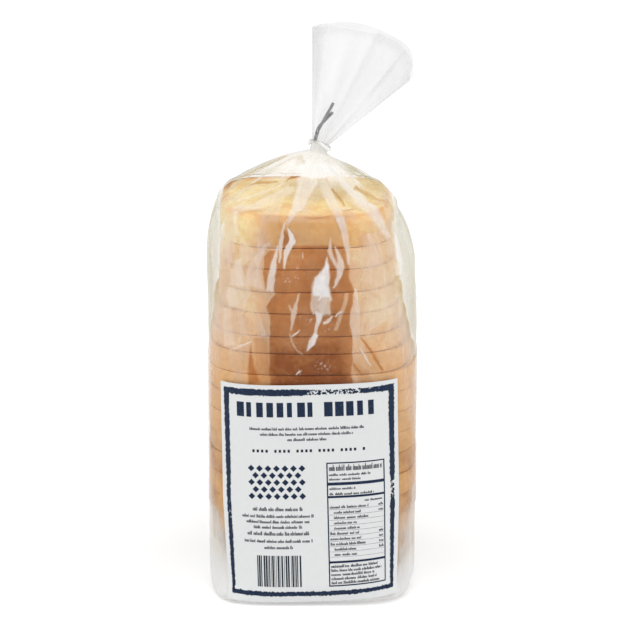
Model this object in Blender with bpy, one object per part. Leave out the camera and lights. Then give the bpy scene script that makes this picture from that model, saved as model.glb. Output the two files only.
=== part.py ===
"""A sealed clear bag of sliced bread that stands on end, with a twist tie and a label.

Metres, +Z up. The bag's front, where the loaf's crown lies, looks along -Y. The origin is on
the surface that the bag stands on, below the middle of its box.
"""

import math

import bmesh
import bpy
from mathutils import Matrix, Vector

# Loaf: slices stacked on the base heel. The upper ones are cut unevenly, the heel thickest.
SLICE_COUNT = 18
LOAF_HEIGHT = 0.2472
TOP_SLICES = (0.0201, 0.0132, 0.0144, 0.0132, 0.0144, 0.0110, 0.0136)
BASE_HEEL = 0.0143
GROOVE_DEPTH = 0.0014
GROOVE_HALF_HEIGHT = 0.0026

# Bag around the loaf: a rounded square, domed in front and flatter behind
HALF_WIDTH = 0.0651
FRONT_DEPTH = 0.0576
BACK_DEPTH = 0.0584
FRONT_POWER = 3.2
BACK_POWER = 4.5
AROUND = 48
BASE_ROUND = 0.0155
BASE_INSET = 0.074
BASE_INSET_RIGHT = 0.075
BASE_SQUARENESS = 2.0
BASE_RING_SHARES = (0.0, 0.12, 0.35, 0.62)
SHOULDER_Z = 0.1793
SHOULDER_WIDTH_POWER = 4.2
CROWN_EDGE_Z = 0.2470
CROWN_EDGE_SHARPNESS = 8
SHOULDER_ROUNDING_POWER = 4
SHOULDER_LEAN = 0.0116
SHOULDER_LEAN_POWER = 2
SHOULDER_RING_SHARES = (0.60, 0.66, 0.705, 0.75, 0.80, 0.855, 0.905, 0.945, 0.973, 0.989)
CROWN_ROUND = 0.004

# Neck, where the film is gathered inside the tie
NECK_X = 0.0038
NECK_Z = 0.2757
NECK_LENGTH = 0.0046
NECK_HALF_WIDTH = 0.0060
NECK_HALF_DEPTH = 0.0052
NECK_TILT = math.radians(12.7)
NECK_TILT_POWER = 20
NECK_LEAN_POWER = 8

# Gathered end above the tie: a pleated fan that leans to +X
FAN_TILT = math.radians(25.7)
FAN_HALF_ANGLE = math.radians(22.8)
FAN_APEX = Vector((-0.0045, 0.0, 0.2629))
FAN_REACH = 0.0992
FAN_PEAK = 0.45
FAN_FALL_LEFT = 0.0088
FAN_FALL_LEFT_POWER = 1.5
FAN_FALL_RIGHT = 0.0135
FAN_FALL_RIGHT_POWER = 2.4
FAN_HALF_DEPTH = 0.0105
FAN_RINGS = 9
FAN_DISH = 0.0035
PLEATS = 12
PLEAT_START_Z = 0.205
PLEAT_FULL_Z = 0.262
PLEAT_DEEPEST_SHARE = 0.15
SHOULDER_PLEAT = 0.0034
NECK_PLEAT = 0.0008
FAN_PLEAT = 0.0040

# Twist tie: a flat strip with a wire along its middle
TIE_HALF_WIDTH = 0.0009
TIE_EDGE_HALF = 0.0002
TIE_WIRE_HALF = 0.00045
TIE_WIRE_SHARE = 0.4
TIE_GAP = 0.0005
TIE_HEIGHT = 0.0028
TIE_MEETING_ANGLE = math.radians(-114.0)
TIE_MEETING_RISE = 0.0040
TIE_RISE_NEAR = 0.1
TIE_RISE_FAR = 1.5
TIE_LOOP_CLEAR = 0.22
TIE_LOOP_STATIONS = 28
TIE_ROOT = 0.0016
TIE_STRAND_GAP = 0.00044
TIE_TURNS = 1.5
TIE_TWIST_LENGTH = 0.0085
TIE_TWIST_BEND = 0.0066
TIE_TWIST_OUT = Vector((-0.10, -1.0, 0.12))
TIE_TWIST_UP = Vector((0.27, -0.05, 1.0))
TIE_TWIST_STATIONS = 30
TIE_PRONGS = ((0.0214, math.radians(28.2)), (0.0165, math.radians(44.0)))
TIE_PRONG_SPREAD = 0.06
TIE_PRONG_BEND = 0.45
TIE_PRONG_STATIONS = 9

# Label: a thin sheet that follows the bag's front
LABEL_WIDTH = 0.1127
LABEL_HEIGHT = 0.1375
LABEL_BOTTOM_Z = 0.0050
LABEL_CENTRE_X = -0.0013
LABEL_TOP_TURN = math.radians(1.4)
LABEL_BASE_TURN = math.radians(2.6)
LABEL_GAP = 0.0005
LABEL_THICKNESS = 0.00035
LABEL_COLUMNS = 26
LABEL_ROWS = 14
LABEL_ROW_POWER = 1.7

# Colours, as linear red, green and blue
BREAD_COLOR = (0.52, 0.33, 0.19)
FILM_COLOR = (0.90, 0.89, 0.86)
PAPER_COLOR = (0.75, 0.76, 0.75)
STRIP_COLOR = (0.16, 0.16, 0.165)


def clear_scene():
    for thing in list(bpy.data.objects):
        bpy.data.objects.remove(thing, do_unlink=True)


def principled(name, color, roughness, metallic=0.0):
    material = bpy.data.materials.new(name)
    material.use_nodes = True
    shader = material.node_tree.nodes["Principled BSDF"]
    shader.inputs["Base Color"].default_value = (*color, 1.0)
    shader.inputs["Roughness"].default_value = roughness
    shader.inputs["Metallic"].default_value = metallic
    material.diffuse_color = (*color, 1.0)
    return material


def object_from(name, mesh_data, materials):
    mesh = bpy.data.meshes.new(name)
    mesh_data.normal_update()
    mesh_data.to_mesh(mesh)
    mesh_data.free()
    for material in materials:
        mesh.materials.append(material)
    node = bpy.data.objects.new(name, mesh)
    bpy.context.scene.collection.objects.link(node)
    return node


def smoothstep(low, high, value):
    t = min(1.0, max(0.0, (value - low) / (high - low)))
    return t * t * (3.0 - 2.0 * t)


def joint_heights():
    """Where one slice meets the next, from the base up."""
    even = SLICE_COUNT - len(TOP_SLICES) - 1
    even_top = LOAF_HEIGHT - sum(TOP_SLICES)
    heights = [BASE_HEEL + (even_top - BASE_HEEL) * number / even for number in range(even + 1)]
    for thickness in reversed(TOP_SLICES[1:]):
        heights.append(heights[-1] + thickness)
    return heights


def oval(angle, half_width, front, back, front_power, back_power):
    """A point at this angle on a rounded square whose front and back differ."""
    depth = back if math.sin(angle) > 0.0 else front
    power = back_power if math.sin(angle) > 0.0 else front_power
    across = abs(math.cos(angle) / half_width) ** power
    along = abs(math.sin(angle) / depth) ** power
    reach = (across + along) ** (-1.0 / power)
    return Vector((reach * math.cos(angle), reach * math.sin(angle), 0.0))


def shoulder_share(z):
    return max(0.0, (z - SHOULDER_Z) / (NECK_Z - SHOULDER_Z))


def crown_depth(share):
    """The bag's depth as a share of its whole: whole up to the edge of the loaf's top, in front
    and behind, and from there sloping in a straight line to the neck."""
    slope = max(1e-6, (1.0 - share) / (1.0 - shoulder_share(CROWN_EDGE_Z)))
    return (1.0 + slope**-CROWN_EDGE_SHARPNESS) ** (-1.0 / CROWN_EDGE_SHARPNESS)


def body_point(angle, z):
    """A point of the bag's smooth outer surface, from the base up to the neck."""
    share = shoulder_share(z)
    width = 1.0 - share**SHOULDER_WIDTH_POWER
    depth = crown_depth(share)
    low = max(0.0, 1.0 - z / BASE_ROUND)
    inset = BASE_INSET + BASE_INSET_RIGHT * (0.5 + 0.5 * math.cos(angle)) ** 2
    grow = 1.0 - inset * (1.0 - math.sqrt(1.0 - low * low))
    roundness = 1.0 - share**SHOULDER_ROUNDING_POWER
    squareness = BASE_SQUARENESS * low * low
    point = oval(
        angle,
        grow * (NECK_HALF_WIDTH + (HALF_WIDTH - NECK_HALF_WIDTH) * width),
        grow * (NECK_HALF_DEPTH + (FRONT_DEPTH - NECK_HALF_DEPTH) * depth),
        grow * (NECK_HALF_DEPTH + (BACK_DEPTH - NECK_HALF_DEPTH) * depth),
        2.0 + (FRONT_POWER - 2.0) * roundness + squareness,
        2.0 + (BACK_POWER - 2.0) * roundness,
    )
    point = Matrix.Rotation(NECK_TILT * share**NECK_TILT_POWER, 3, "Y") @ point
    near_neck = share**NECK_LEAN_POWER
    lean = NECK_X * near_neck - SHOULDER_LEAN * share**SHOULDER_LEAN_POWER * (1.0 - near_neck)
    return point + Vector((lean, 0.0, z))


def pleat(angle):
    """0 on a pleat's crest and 1 in the valley beside it."""
    return 0.5 - 0.5 * math.cos(PLEATS * angle)


def body_rings():
    """(height, groove depth) of each ring of the body, from the base up."""
    rings = [(BASE_ROUND * share, 0.0) for share in BASE_RING_SHARES]
    for height in joint_heights():
        for offset, depth in ((-1.0, 0.0), (0.0, GROOVE_DEPTH), (1.0, 0.0)):
            rings.append((height + offset * GROOVE_HALF_HEIGHT, depth))
    for share in SHOULDER_RING_SHARES:
        rings.append((SHOULDER_Z + share * (NECK_Z - SHOULDER_Z), 0.0))
    return rings


def body_ring(height, groove):
    centre = body_point(0.0, height).lerp(body_point(math.pi, height), 0.5)
    ramp = smoothstep(PLEAT_START_Z, PLEAT_FULL_Z, height)
    points = []
    for step in range(AROUND):
        angle = 2.0 * math.pi * step / AROUND
        point = body_point(angle, height)
        inward = (centre - point).normalized()
        # Above the shoulder the film has left the slices' sides, so only front and back show them.
        share = 1.0 if height < SHOULDER_Z else math.sin(angle) ** 2
        depth = groove * share
        deepest = PLEAT_DEEPEST_SHARE * (centre - point).length
        depth += min(SHOULDER_PLEAT * ramp, deepest) * pleat(angle)
        points.append(point + inward * depth)
    return points


def neck_frame(height):
    """The centre and the rotation of the neck's section, this far above its foot."""
    turn = Matrix.Rotation(NECK_TILT, 3, "Y")
    return Vector((NECK_X, 0.0, NECK_Z)) + turn @ Vector((0.0, 0.0, height)), turn


def neck_point(angle, height, outset=0.0):
    centre, turn = neck_frame(height)
    across = (NECK_HALF_WIDTH + outset) * math.cos(angle)
    along = (NECK_HALF_DEPTH + outset) * math.sin(angle)
    return centre + turn @ Vector((across, along, 0.0))


def neck_ring(height):
    points = []
    for step in range(AROUND):
        angle = 2.0 * math.pi * step / AROUND
        points.append(neck_point(angle, height, -NECK_PLEAT * pleat(angle)))
    return points


def fan_direction(angle):
    bearing = FAN_TILT + FAN_HALF_ANGLE * math.cos(angle)
    return Vector((math.sin(bearing), 0.0, math.cos(bearing)))


def mouth_point(angle, depth_share=1.0, drop=0.0):
    """A point of the fan's rim. depth_share runs from its front or back in to the middle line."""
    past_peak = math.cos(angle) - FAN_PEAK
    if past_peak > 0.0:
        fall = FAN_FALL_RIGHT * (past_peak / (1.0 - FAN_PEAK)) ** FAN_FALL_RIGHT_POWER
    else:
        fall = FAN_FALL_LEFT * (-past_peak / (1.0 + FAN_PEAK)) ** FAN_FALL_LEFT_POWER
    reach = FAN_REACH - fall - drop
    depth = FAN_HALF_DEPTH * math.sin(angle) * depth_share
    return FAN_APEX + reach * fan_direction(angle) + Vector((0.0, depth, 0.0))


def fan_ring(share):
    points = []
    for step in range(AROUND):
        angle = 2.0 * math.pi * step / AROUND
        point = neck_point(angle, NECK_LENGTH).lerp(mouth_point(angle), share)
        side = Vector((math.cos(FAN_TILT), 0.0, -math.sin(FAN_TILT)))
        outward = side * math.cos(angle) + Vector((0.0, math.sin(angle), 0.0))
        depth = NECK_PLEAT + (FAN_PLEAT - NECK_PLEAT) * share
        points.append(point - outward * depth * pleat(angle))
    return points


def bridge(mesh_data, lower, upper, material=0):
    """Joins two rings of corners, which run the same way round, with quads that face out."""
    for step in range(len(lower)):
        after = (step + 1) % len(lower)
        face = mesh_data.faces.new((lower[step], lower[after], upper[after], upper[step]))
        face.material_index = material
        face.smooth = True


def make_bag(bread, film):
    mesh_data = bmesh.new()
    rings = [(body_ring(height, groove), height) for height, groove in body_rings()]
    rings += [(neck_ring(NECK_LENGTH * share), NECK_Z) for share in (0.0, 0.5, 1.0)]
    for step in range(1, FAN_RINGS + 1):
        rings.append((fan_ring(step / FAN_RINGS), NECK_Z))
    corners = [[mesh_data.verts.new(point) for point in ring] for ring, _ in rings]
    for number in range(len(rings) - 1):
        material = 0 if rings[number][1] < LOAF_HEIGHT - CROWN_ROUND else 1
        bridge(mesh_data, corners[number], corners[number + 1], material)
    mesh_data.faces.new(list(reversed(corners[0])))
    close_fan(mesh_data, corners[-1])
    return object_from("bag", mesh_data, [bread, film])


def close_fan(mesh_data, rim):
    """Closes the fan's end with two strips that sink a little to its middle line."""
    half = AROUND // 2
    middle = [rim[0]]
    for step in range(1, half):
        angle = 2.0 * math.pi * step / AROUND
        middle.append(mesh_data.verts.new(mouth_point(angle, 0.0, FAN_DISH)))
    middle.append(rim[half])
    for step in range(half):
        back = (rim[step], rim[step + 1], middle[step + 1], middle[step])
        front = (
            rim[-step],
            middle[step],
            middle[step + 1],
            rim[-step - 1],
        )
        for corners in (back, front):
            face = mesh_data.faces.new(list(dict.fromkeys(corners)))
            face.material_index = 1


def loop_point(angle):
    """The strip's middle on its way round the neck. Both ends climb to where they meet."""
    apart = abs(math.remainder(angle - TIE_MEETING_ANGLE, 2.0 * math.pi))
    rise = TIE_MEETING_RISE * (1.0 - smoothstep(TIE_RISE_NEAR, TIE_RISE_FAR, apart))
    foot = neck_point(angle, TIE_HEIGHT, TIE_GAP + TIE_WIRE_HALF)
    return foot + Vector((0.0, 0.0, rise))


def twist_axis(length):
    """The point, heading and side of the twist's axis: straight out, round a bend, then up."""
    out, up = TIE_TWIST_OUT.normalized(), TIE_TWIST_UP.normalized()
    steps = 40
    point = loop_point(TIE_MEETING_ANGLE)
    for step in range(steps):
        gone = length * (step + 0.5) / steps
        heading = out.lerp(up, smoothstep(0.0, TIE_TWIST_BEND, gone)).normalized()
        point += heading * (length / steps)
    heading = out.lerp(up, smoothstep(0.0, TIE_TWIST_BEND, length)).normalized()
    side = Vector((-1.0, 0.0, 0.0))
    side = (side - heading * side.dot(heading)).normalized()
    return point, heading, side


def twisted_strand(sign):
    """One of the two strands wound round the axis: (point, way its face looks) each."""
    offset = TIE_WIRE_HALF + 0.5 * TIE_STRAND_GAP
    strand = []
    for step in range(TIE_TWIST_STATIONS + 1):
        share = step / TIE_TWIST_STATIONS
        length = TIE_ROOT + (TIE_TWIST_LENGTH - TIE_ROOT) * share
        point, heading, side = twist_axis(length)
        spun = sign * (Matrix.Rotation(2.0 * math.pi * TIE_TURNS * share, 3, heading) @ side)
        strand.append((point + spun * offset, spun))
    return strand


def prong(start, look, sign, reach, lean):
    """The free end above the twist, which leans to +X in front of the fan."""
    heading = twist_axis(TIE_TWIST_LENGTH)[1]
    aim = Vector((math.sin(lean), -TIE_PRONG_SPREAD * sign, math.cos(lean))).normalized()
    face = Vector((0.0, math.copysign(1.0, look.y), 0.0))
    stations = []
    point = start.copy()
    for step in range(1, TIE_PRONG_STATIONS + 1):
        share = smoothstep(0.0, TIE_PRONG_BEND, step / TIE_PRONG_STATIONS)
        point = point + heading.lerp(aim, share).normalized() * (reach / TIE_PRONG_STATIONS)
        stations.append((point, look.lerp(face, share)))
    return stations


def tie_route():
    """(point, way the strip's face looks) along the whole tie, from one tip to the other."""
    ends = []
    for sign, (reach, lean) in zip((1.0, -1.0), TIE_PRONGS):
        strand = twisted_strand(sign)
        ends.append(strand + prong(*strand[-1], sign, reach, lean))
    centre = neck_frame(TIE_HEIGHT)[0]
    loop = []
    for step in range(1, TIE_LOOP_STATIONS):
        turned = TIE_LOOP_CLEAR + 2.0 * (math.pi - TIE_LOOP_CLEAR) * step / TIE_LOOP_STATIONS
        point = loop_point(TIE_MEETING_ANGLE - turned)
        outward = point - centre
        outward.z = 0.0
        loop.append((point, outward.normalized()))
    return list(reversed(ends[0])) + loop + ends[1]


def strip_profile():
    """Corners of the strip's section: across its width, and along the way its face looks."""
    width, edge, wire = TIE_HALF_WIDTH, TIE_EDGE_HALF, TIE_WIRE_HALF
    ridge = TIE_WIRE_SHARE * width
    half = [(-width, -edge), (-ridge, -wire), (ridge, -wire), (width, -edge)]
    return half + [(-across, -along) for across, along in half]


def make_tie(material):
    route = tie_route()
    mesh_data = bmesh.new()
    rings = []
    for number, (point, look) in enumerate(route):
        before = route[max(0, number - 1)][0]
        after = route[min(len(route) - 1, number + 1)][0]
        heading = (after - before).normalized()
        look = (look - heading * look.dot(heading)).normalized()
        across = heading.cross(look)
        ring = []
        for along_width, along_look in strip_profile():
            ring.append(mesh_data.verts.new(point + across * along_width + look * along_look))
        rings.append(ring)
    for lower, upper in zip(rings, rings[1:]):
        bridge(mesh_data, lower, upper)
    mesh_data.faces.new(list(reversed(rings[0])))
    mesh_data.faces.new(rings[-1])
    bmesh.ops.recalc_face_normals(mesh_data, faces=mesh_data.faces)
    return object_from("twist_tie", mesh_data, [material])


def front_outline(height, count=120):
    """The bag's front at this height, as points from left to right with their arc lengths."""
    points = [body_point(math.pi + math.pi * step / count, height) for step in range(count + 1)]
    lengths = [0.0]
    for before, after in zip(points, points[1:]):
        lengths.append(lengths[-1] + (after - before).length)
    return points, lengths


def front_point(outline, distance, outset):
    """The point this far along the front from its middle, moved out from the surface."""
    points, lengths = outline
    middle = lengths[len(lengths) // 2]
    wanted = middle + distance
    number = 1
    while number < len(lengths) - 1 and lengths[number] < wanted:
        number += 1
    before, after = points[number - 1], points[number]
    share = (wanted - lengths[number - 1]) / (lengths[number] - lengths[number - 1])
    heading = (after - before).normalized()
    outward = heading.cross(Vector((0.0, 0.0, 1.0)))
    return before.lerp(after, share) + outward * outset


def label_point(across, share, outset):
    """A point of the label, this far from its middle line and at this share of its height."""
    turn = LABEL_BASE_TURN + (LABEL_TOP_TURN - LABEL_BASE_TURN) * share
    shift = LABEL_HEIGHT * (0.5 - share) * math.sin(LABEL_TOP_TURN)
    height = LABEL_BOTTOM_Z + LABEL_HEIGHT * share + across * math.sin(turn)
    return front_point(front_outline(height), LABEL_CENTRE_X + across + shift, outset)


def make_label(material):
    mesh_data = bmesh.new()
    faces = []
    for outset in (LABEL_GAP, LABEL_GAP + LABEL_THICKNESS):
        grid = []
        for row in range(LABEL_ROWS + 1):
            line = []
            for column in range(LABEL_COLUMNS + 1):
                across = LABEL_WIDTH * (column / LABEL_COLUMNS - 0.5)
                share = (row / LABEL_ROWS) ** LABEL_ROW_POWER
                line.append(mesh_data.verts.new(label_point(across, share, outset)))
            grid.append(line)
        faces.append(grid)
    inner, outer = faces
    for row in range(LABEL_ROWS):
        for column in range(LABEL_COLUMNS):
            for grid, order in ((inner, (0, 3, 2, 1)), (outer, (0, 1, 2, 3))):
                corners = (
                    grid[row][column],
                    grid[row][column + 1],
                    grid[row + 1][column + 1],
                    grid[row + 1][column],
                )
                mesh_data.faces.new([corners[number] for number in order])
    rims = []
    for grid in (inner, outer):
        rim = list(grid[0])
        rim += [line[-1] for line in grid[1:]]
        rim += list(reversed(grid[-1]))[1:]
        rim += [line[0] for line in reversed(grid[1:-1])]
        rims.append(rim)
    bridge(mesh_data, rims[0], rims[1])
    bmesh.ops.recalc_face_normals(mesh_data, faces=mesh_data.faces)
    return object_from("label", mesh_data, [material])


def main():
    clear_scene()
    bread = principled("bread_behind_film", BREAD_COLOR, 0.45)
    film = principled("clear_film", FILM_COLOR, 0.25)
    paper = principled("white_label", PAPER_COLOR, 0.5)
    strip = principled("grey_twist_tie", STRIP_COLOR, 0.45)
    make_bag(bread, film)
    make_tie(strip)
    make_label(paper)


main()
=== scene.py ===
"""Looks of a clear bag of sliced bread that stands on end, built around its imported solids.

Metres, +Z up. The bag's front, with the loaf's crown and the label, looks along -Y.
"""

import math

import bmesh
import bpy
import numpy as np
from bpy.props import FloatProperty, IntProperty, PointerProperty, StringProperty
from mathutils import Matrix, Vector
from mathutils.geometry import delaunay_2d_cdt


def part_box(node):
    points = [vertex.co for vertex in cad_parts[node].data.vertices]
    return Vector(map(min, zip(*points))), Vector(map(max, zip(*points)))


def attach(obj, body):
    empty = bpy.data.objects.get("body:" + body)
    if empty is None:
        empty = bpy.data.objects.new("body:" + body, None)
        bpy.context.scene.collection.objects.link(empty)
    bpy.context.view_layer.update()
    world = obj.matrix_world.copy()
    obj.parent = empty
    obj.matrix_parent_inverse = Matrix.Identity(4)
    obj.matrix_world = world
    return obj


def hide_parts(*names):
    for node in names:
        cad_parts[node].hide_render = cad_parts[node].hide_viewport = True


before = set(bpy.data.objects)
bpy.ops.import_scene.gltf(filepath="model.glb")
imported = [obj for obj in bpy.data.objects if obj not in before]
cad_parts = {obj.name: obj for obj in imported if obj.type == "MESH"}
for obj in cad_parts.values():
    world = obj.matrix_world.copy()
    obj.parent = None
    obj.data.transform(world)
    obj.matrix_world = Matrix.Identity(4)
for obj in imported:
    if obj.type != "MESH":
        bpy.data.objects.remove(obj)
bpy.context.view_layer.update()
BAG_LOW, BAG_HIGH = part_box("bag")
TIE_LOW, TIE_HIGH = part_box("twist_tie")

bl_info = {
    "name": "Bagged Sliced Bread",
    "version": (1, 0, 0),
    "blender": (4, 5, 0),
    "location": "View3D > Sidebar > Bread",
    "description": "Builds the slices, film, label, tie and studio of a bag of sliced bread",
    "category": "Object",
}

BODY = "root"
MM = 0.001

# Outline of the bag around the loaf, as its solid has it
HALF_WIDTH = round(BAG_HIGH.x, 4)
FRONT_DEPTH = round(-BAG_LOW.y, 4)
BACK_DEPTH = round(BAG_HIGH.y, 4)
FRONT_POWER = 3.2
BACK_POWER = 4.5
BASE_ROUND = 0.0155
BASE_INSET = 0.074
BASE_INSET_RIGHT = 0.075
BASE_SQUARENESS = 2.0
SHOULDER_Z = 0.1793
SHOULDER_WIDTH_POWER = 4.2
CROWN_EDGE_Z = 0.2470
CROWN_EDGE_SHARPNESS = 8
SHOULDER_ROUNDING_POWER = 4
SHOULDER_LEAN = 0.0116
SHOULDER_LEAN_POWER = 2

# Neck and gathered end
NECK_X = 0.0038
NECK_Z = 0.2757
NECK_LENGTH = 0.0046
NECK_HALF_WIDTH = 0.0060
NECK_HALF_DEPTH = 0.0052
NECK_TILT = math.radians(12.7)
NECK_TILT_POWER = 20
NECK_LEAN_POWER = 8
# Height where the tie's loop ends and its loose ends begin, and over what height the white
# # painted over the loop fades there: it stands for the white film over the loop and paints
# # light over the shade on its underside
TIE_LOOP_SHARE = 0.277
TIE_LOOP_TOP = round(TIE_LOW.z + TIE_LOOP_SHARE * (TIE_HIGH.z - TIE_LOW.z), 4)
TIE_WHITE_FADE = 0.003
FAN_TILT = math.radians(25.7)
FAN_HALF_ANGLE = math.radians(22.8)
FAN_APEX = (-0.0045, 0.0, 0.2629)
FAN_REACH = 0.0992
FAN_PEAK = 0.45
FAN_FALL_LEFT = 0.0088
FAN_FALL_LEFT_POWER = 1.5
FAN_FALL_RIGHT = 0.0135
FAN_FALL_RIGHT_POWER = 2.4
FAN_HALF_DEPTH = 0.0105
FAN_PLEATS = 9
FAN_SWAY = math.radians(1.1)
FAN_OPEN = 0.82
FAN_PLEAT_DEPTH = 0.20
FAN_RIPPLE = 0.0014
FAN_COLUMNS = 560
FAN_LEVELS = 70
# Haze of the gathered end: all over, and what the neck, its edges, its clouds, the painted shade
# of its soft fold and its rim behind add. Its grey haze is partly its own tint and partly painted shade
FAN_HAZE = 0.13
FAN_HAZE_NECK = 0.08
FAN_HAZE_LEFT = 0.14
FAN_HAZE_RIGHT = 0.07
FAN_HAZE_CLOUD = 0.06
FAN_FOLD_SHADE = 0.08
FAN_HAZE_BEHIND = 0.16

# Loaf: heights where one slice meets the next come from the same cuts as the solid's grooves
SLICE_COUNT = 18
LOAF_BASE_Z = 0.0008
LOAF_HEIGHT = 0.2472
TOP_SLICES = (0.0201, 0.0132, 0.0144, 0.0132, 0.0144, 0.0110, 0.0136)
BASE_HEEL = 0.0143
LOAF_HALF_WIDTH = 0.0640
LOAF_CENTRE = -0.0002
TOP_HALF_WIDTHS = (0.0530, 0.0535, 0.0545, 0.0555, 0.0580, 0.0600, 0.0622)
TOP_CENTRES = (-0.0035, -0.0035, -0.0030, -0.0020, -0.0025, -0.0020, -0.0014)
BASE_HALF_WIDTHS = (0.0500, 0.0530, 0.0560, 0.0600, 0.0625)
BASE_CENTRES = (0.001, 0.001, 0.0015, 0.001, -0.0005)
LOAF_FRONT_POWER = 3.1
LOAF_BACK_POWER = 4.4
FILM_CLEARANCE = 0.0019
LEAST_CLEARANCE = 0.0009
SLICE_GAP = 0.0002
CUT_ROUND = 0.0011
TOP_HEEL_ROUND = 0.0042
TOP_HEEL_DOME = 0.0022
BASE_HEEL_ROUND = 0.0100
BASE_HEEL_SHORT = (0.0030, 0.0040)
# How far the slices differ by chance, from least to most: (half width, centre, front, back)
SLICE_SPREAD = ((-0.0005, 0.0004), (-0.0004, 0.0004), (0.0, 0.0009), (0.0, 0.0012))
TURN_SPREAD = (-0.5, 0.5)
BAKE_SPREAD = (-0.05, 0.05)
# How brown the crust is, by height: down the crown's middle, beside it and on the sides. Each grows
# darker towards the bottom; down the middle that is partly the real bake and partly painted shade, for
# light that falls off lower down.
MIDDLE_BAKE_AND_SHADE = ((0.146, 1.06), (0.156, 0.93), (0.180, 0.64), (0.207, 0.52), (0.223, 0.34), (0.232, 0.56))
BAKE_BESIDE = ((0.10, 0.66), (0.15, 0.42), (0.19, 0.26))
BAKE_SIDES = ((0.10, 0.85), (0.14, 0.52), (0.20, 0.08))
# Rings of points round a slice: turns of its rounded rims, steps up its crust, how far the
# crust bows out between them, and places in from the rim on its cut faces
SLICE_COLUMNS = 220
RIM_STEPS = 4
CRUST_STEPS = 6
CRUST_BOW = 0.00035
CUT_RINGS = (0.0010, 0.0028, 0.0065, 0.013, 0.022, 0.033, 0.044)
CUT_CRUST = 0.0009
# Relief of the crust, as (height, pitch) of each of its two swells
CRUST_RELIEF = ((0.00035, 0.011), (0.00012, 0.0031))
# Relief of a heel's crusty end and of the crumb, as (depth, pitch)
HEEL_RELIEF = (0.0008, 0.012)
CRUMB_RELIEF = (0.00022, 0.0024)
# Corn meal: the slices that carry it, its spread of bearings and the range of its sizes
MEAL_SLICES = 9
MEAL_SPREAD = 0.5
MEAL_SIZE = (0.00016, 0.00034)
MEAL_LIFT = 0.0003

# Label
LABEL_WIDTH = 0.1127
LABEL_HEIGHT = 0.1375
LABEL_BOTTOM_Z = 0.0050
LABEL_CENTRE_X = -0.0013
LABEL_TOP_TURN = math.radians(1.4)
LABEL_BASE_TURN = math.radians(1.8)
# How the lower corners are drawn in: how strongly, from how far out, and over what share of the
# label's height
LABEL_CORNER_DRAW = 8.0
LABEL_CORNER_START = 0.036
LABEL_CORNER_SHARE = 0.45
LABEL_SAG = 0.0018
LABEL_GAP = 0.0005
LABEL_THICKNESS = 0.00035
LABEL_WAVE = (0.00012, 0.021)
LABEL_GRID = (150, 120)
INK_LIFT = 0.00006

# Studio
FLOOR_RADIUS = 12.0
FLOOR_DROP = 0.0002
LAMP_PLACE = (1.55, -0.35, 0.60)
LAMP_AIM = (0.0, 0.0, 0.16)
LAMP_SIZE = (0.7, 1.2)
SENSOR_WIDTH = 36.0
VIEW_DEPTHS = (0.1, 60.0)
# Sideways shift of the camera, as a share of the view
CAMERA_SHIFT = 0.0016

# Seeds of what is left to chance
LOAF_SEED = 3
SLICE_SEEDS = (100, 7)
MEAL_SEED = 8
FILM_SHIFT_SEEDS = (7, 8)
CLING_EDGE_SEEDS = (5, 6)
CREASE_SEEDS = (11, 12)
GLINT_SEED = 9
PLEAT_SEED = 21
BASE_FILM_SEED = 71
FAN_SEEDS = (33, 35)
WAVE_SEED = 51
PRINT_SEEDS = (41, 42)
WORN_SEEDS = (61, 62, 63)


# ---------------------------------------------------------------- small helpers


def to_linear(code):
    """An sRGB hex colour as linear red, green, blue and alpha."""
    parts = [int(code[start : start + 2], 16) / 255 for start in (1, 3, 5)]
    return (*(c / 12.92 if c <= 0.04045 else ((c + 0.055) / 1.055) ** 2.4 for c in parts), 1.0)


def smoothstep(low, high, value):
    """0 at the low end and 1 at the high end, eased between them. The ends may be swapped."""
    t = np.clip((np.asarray(value, float) - low) / (high - low), 0.0, 1.0)
    return t * t * (3.0 - 2.0 * t)


def read_off(stops, place):
    """The value at a place, from (place, value) pairs in order, straight between them."""
    return np.interp(place, *zip(*stops))


def swell(across, up, pitch, seed):
    """Smooth noise from -1 to 1 over a plane, with about one swell every pitch."""
    size, start = 128, (37.3, 11.7)
    table = np.random.default_rng(seed).uniform(-1.0, 1.0, (size, size))
    x, y = np.asarray(across) / pitch + start[0], np.asarray(up) / pitch + start[1]
    left, low = np.floor(x).astype(int), np.floor(y).astype(int)
    u, v = smoothstep(0, 1, x - left), smoothstep(0, 1, y - low)
    corner = [[table[(left + i) % size, (low + j) % size] for j in (0, 1)] for i in (0, 1)]
    near = corner[0][0] * (1 - u) + corner[1][0] * u
    return near * (1 - v) + (corner[0][1] * (1 - u) + corner[1][1] * u) * v


def add_node(tree, kind, inputs=(), **settings):
    """Adds a shader node, with its settings, and fills its inputs with values or sockets.

    Some inputs go by number: a Mix has its factor at 0 and its colours at 6 and 7, and a MapRange
    has its value at 0, the ends of the range it comes from at 1 and 2 and of its new one at 3 and 4.
    """
    made = tree.nodes.new("ShaderNode" + kind)
    for name, value in settings.items():
        setattr(made, name, value)
    for name, value in dict(inputs).items():
        if isinstance(value, bpy.types.NodeSocket):
            tree.links.new(value, made.inputs[name])
        else:
            made.inputs[name].default_value = value
    return made


def new_material(name):
    """A node material with only its output, its node tree, and the coordinates of the object."""
    material = bpy.data.materials.new(name)
    material.use_nodes = True
    tree = material.node_tree
    tree.nodes.clear()
    add_node(tree, "OutputMaterial")
    return material, tree, add_node(tree, "TexCoord").outputs["Object"]


def surfaced(material, shader):
    """The material, with this shader as its surface."""
    tree = material.node_tree
    tree.links.new(shader.outputs[0], tree.nodes["Material Output"].inputs["Surface"])
    return material


def new_object(name, data):
    """A new object in the scene."""
    made = bpy.data.objects.new(name, data)
    bpy.context.scene.collection.objects.link(made)
    return made


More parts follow.
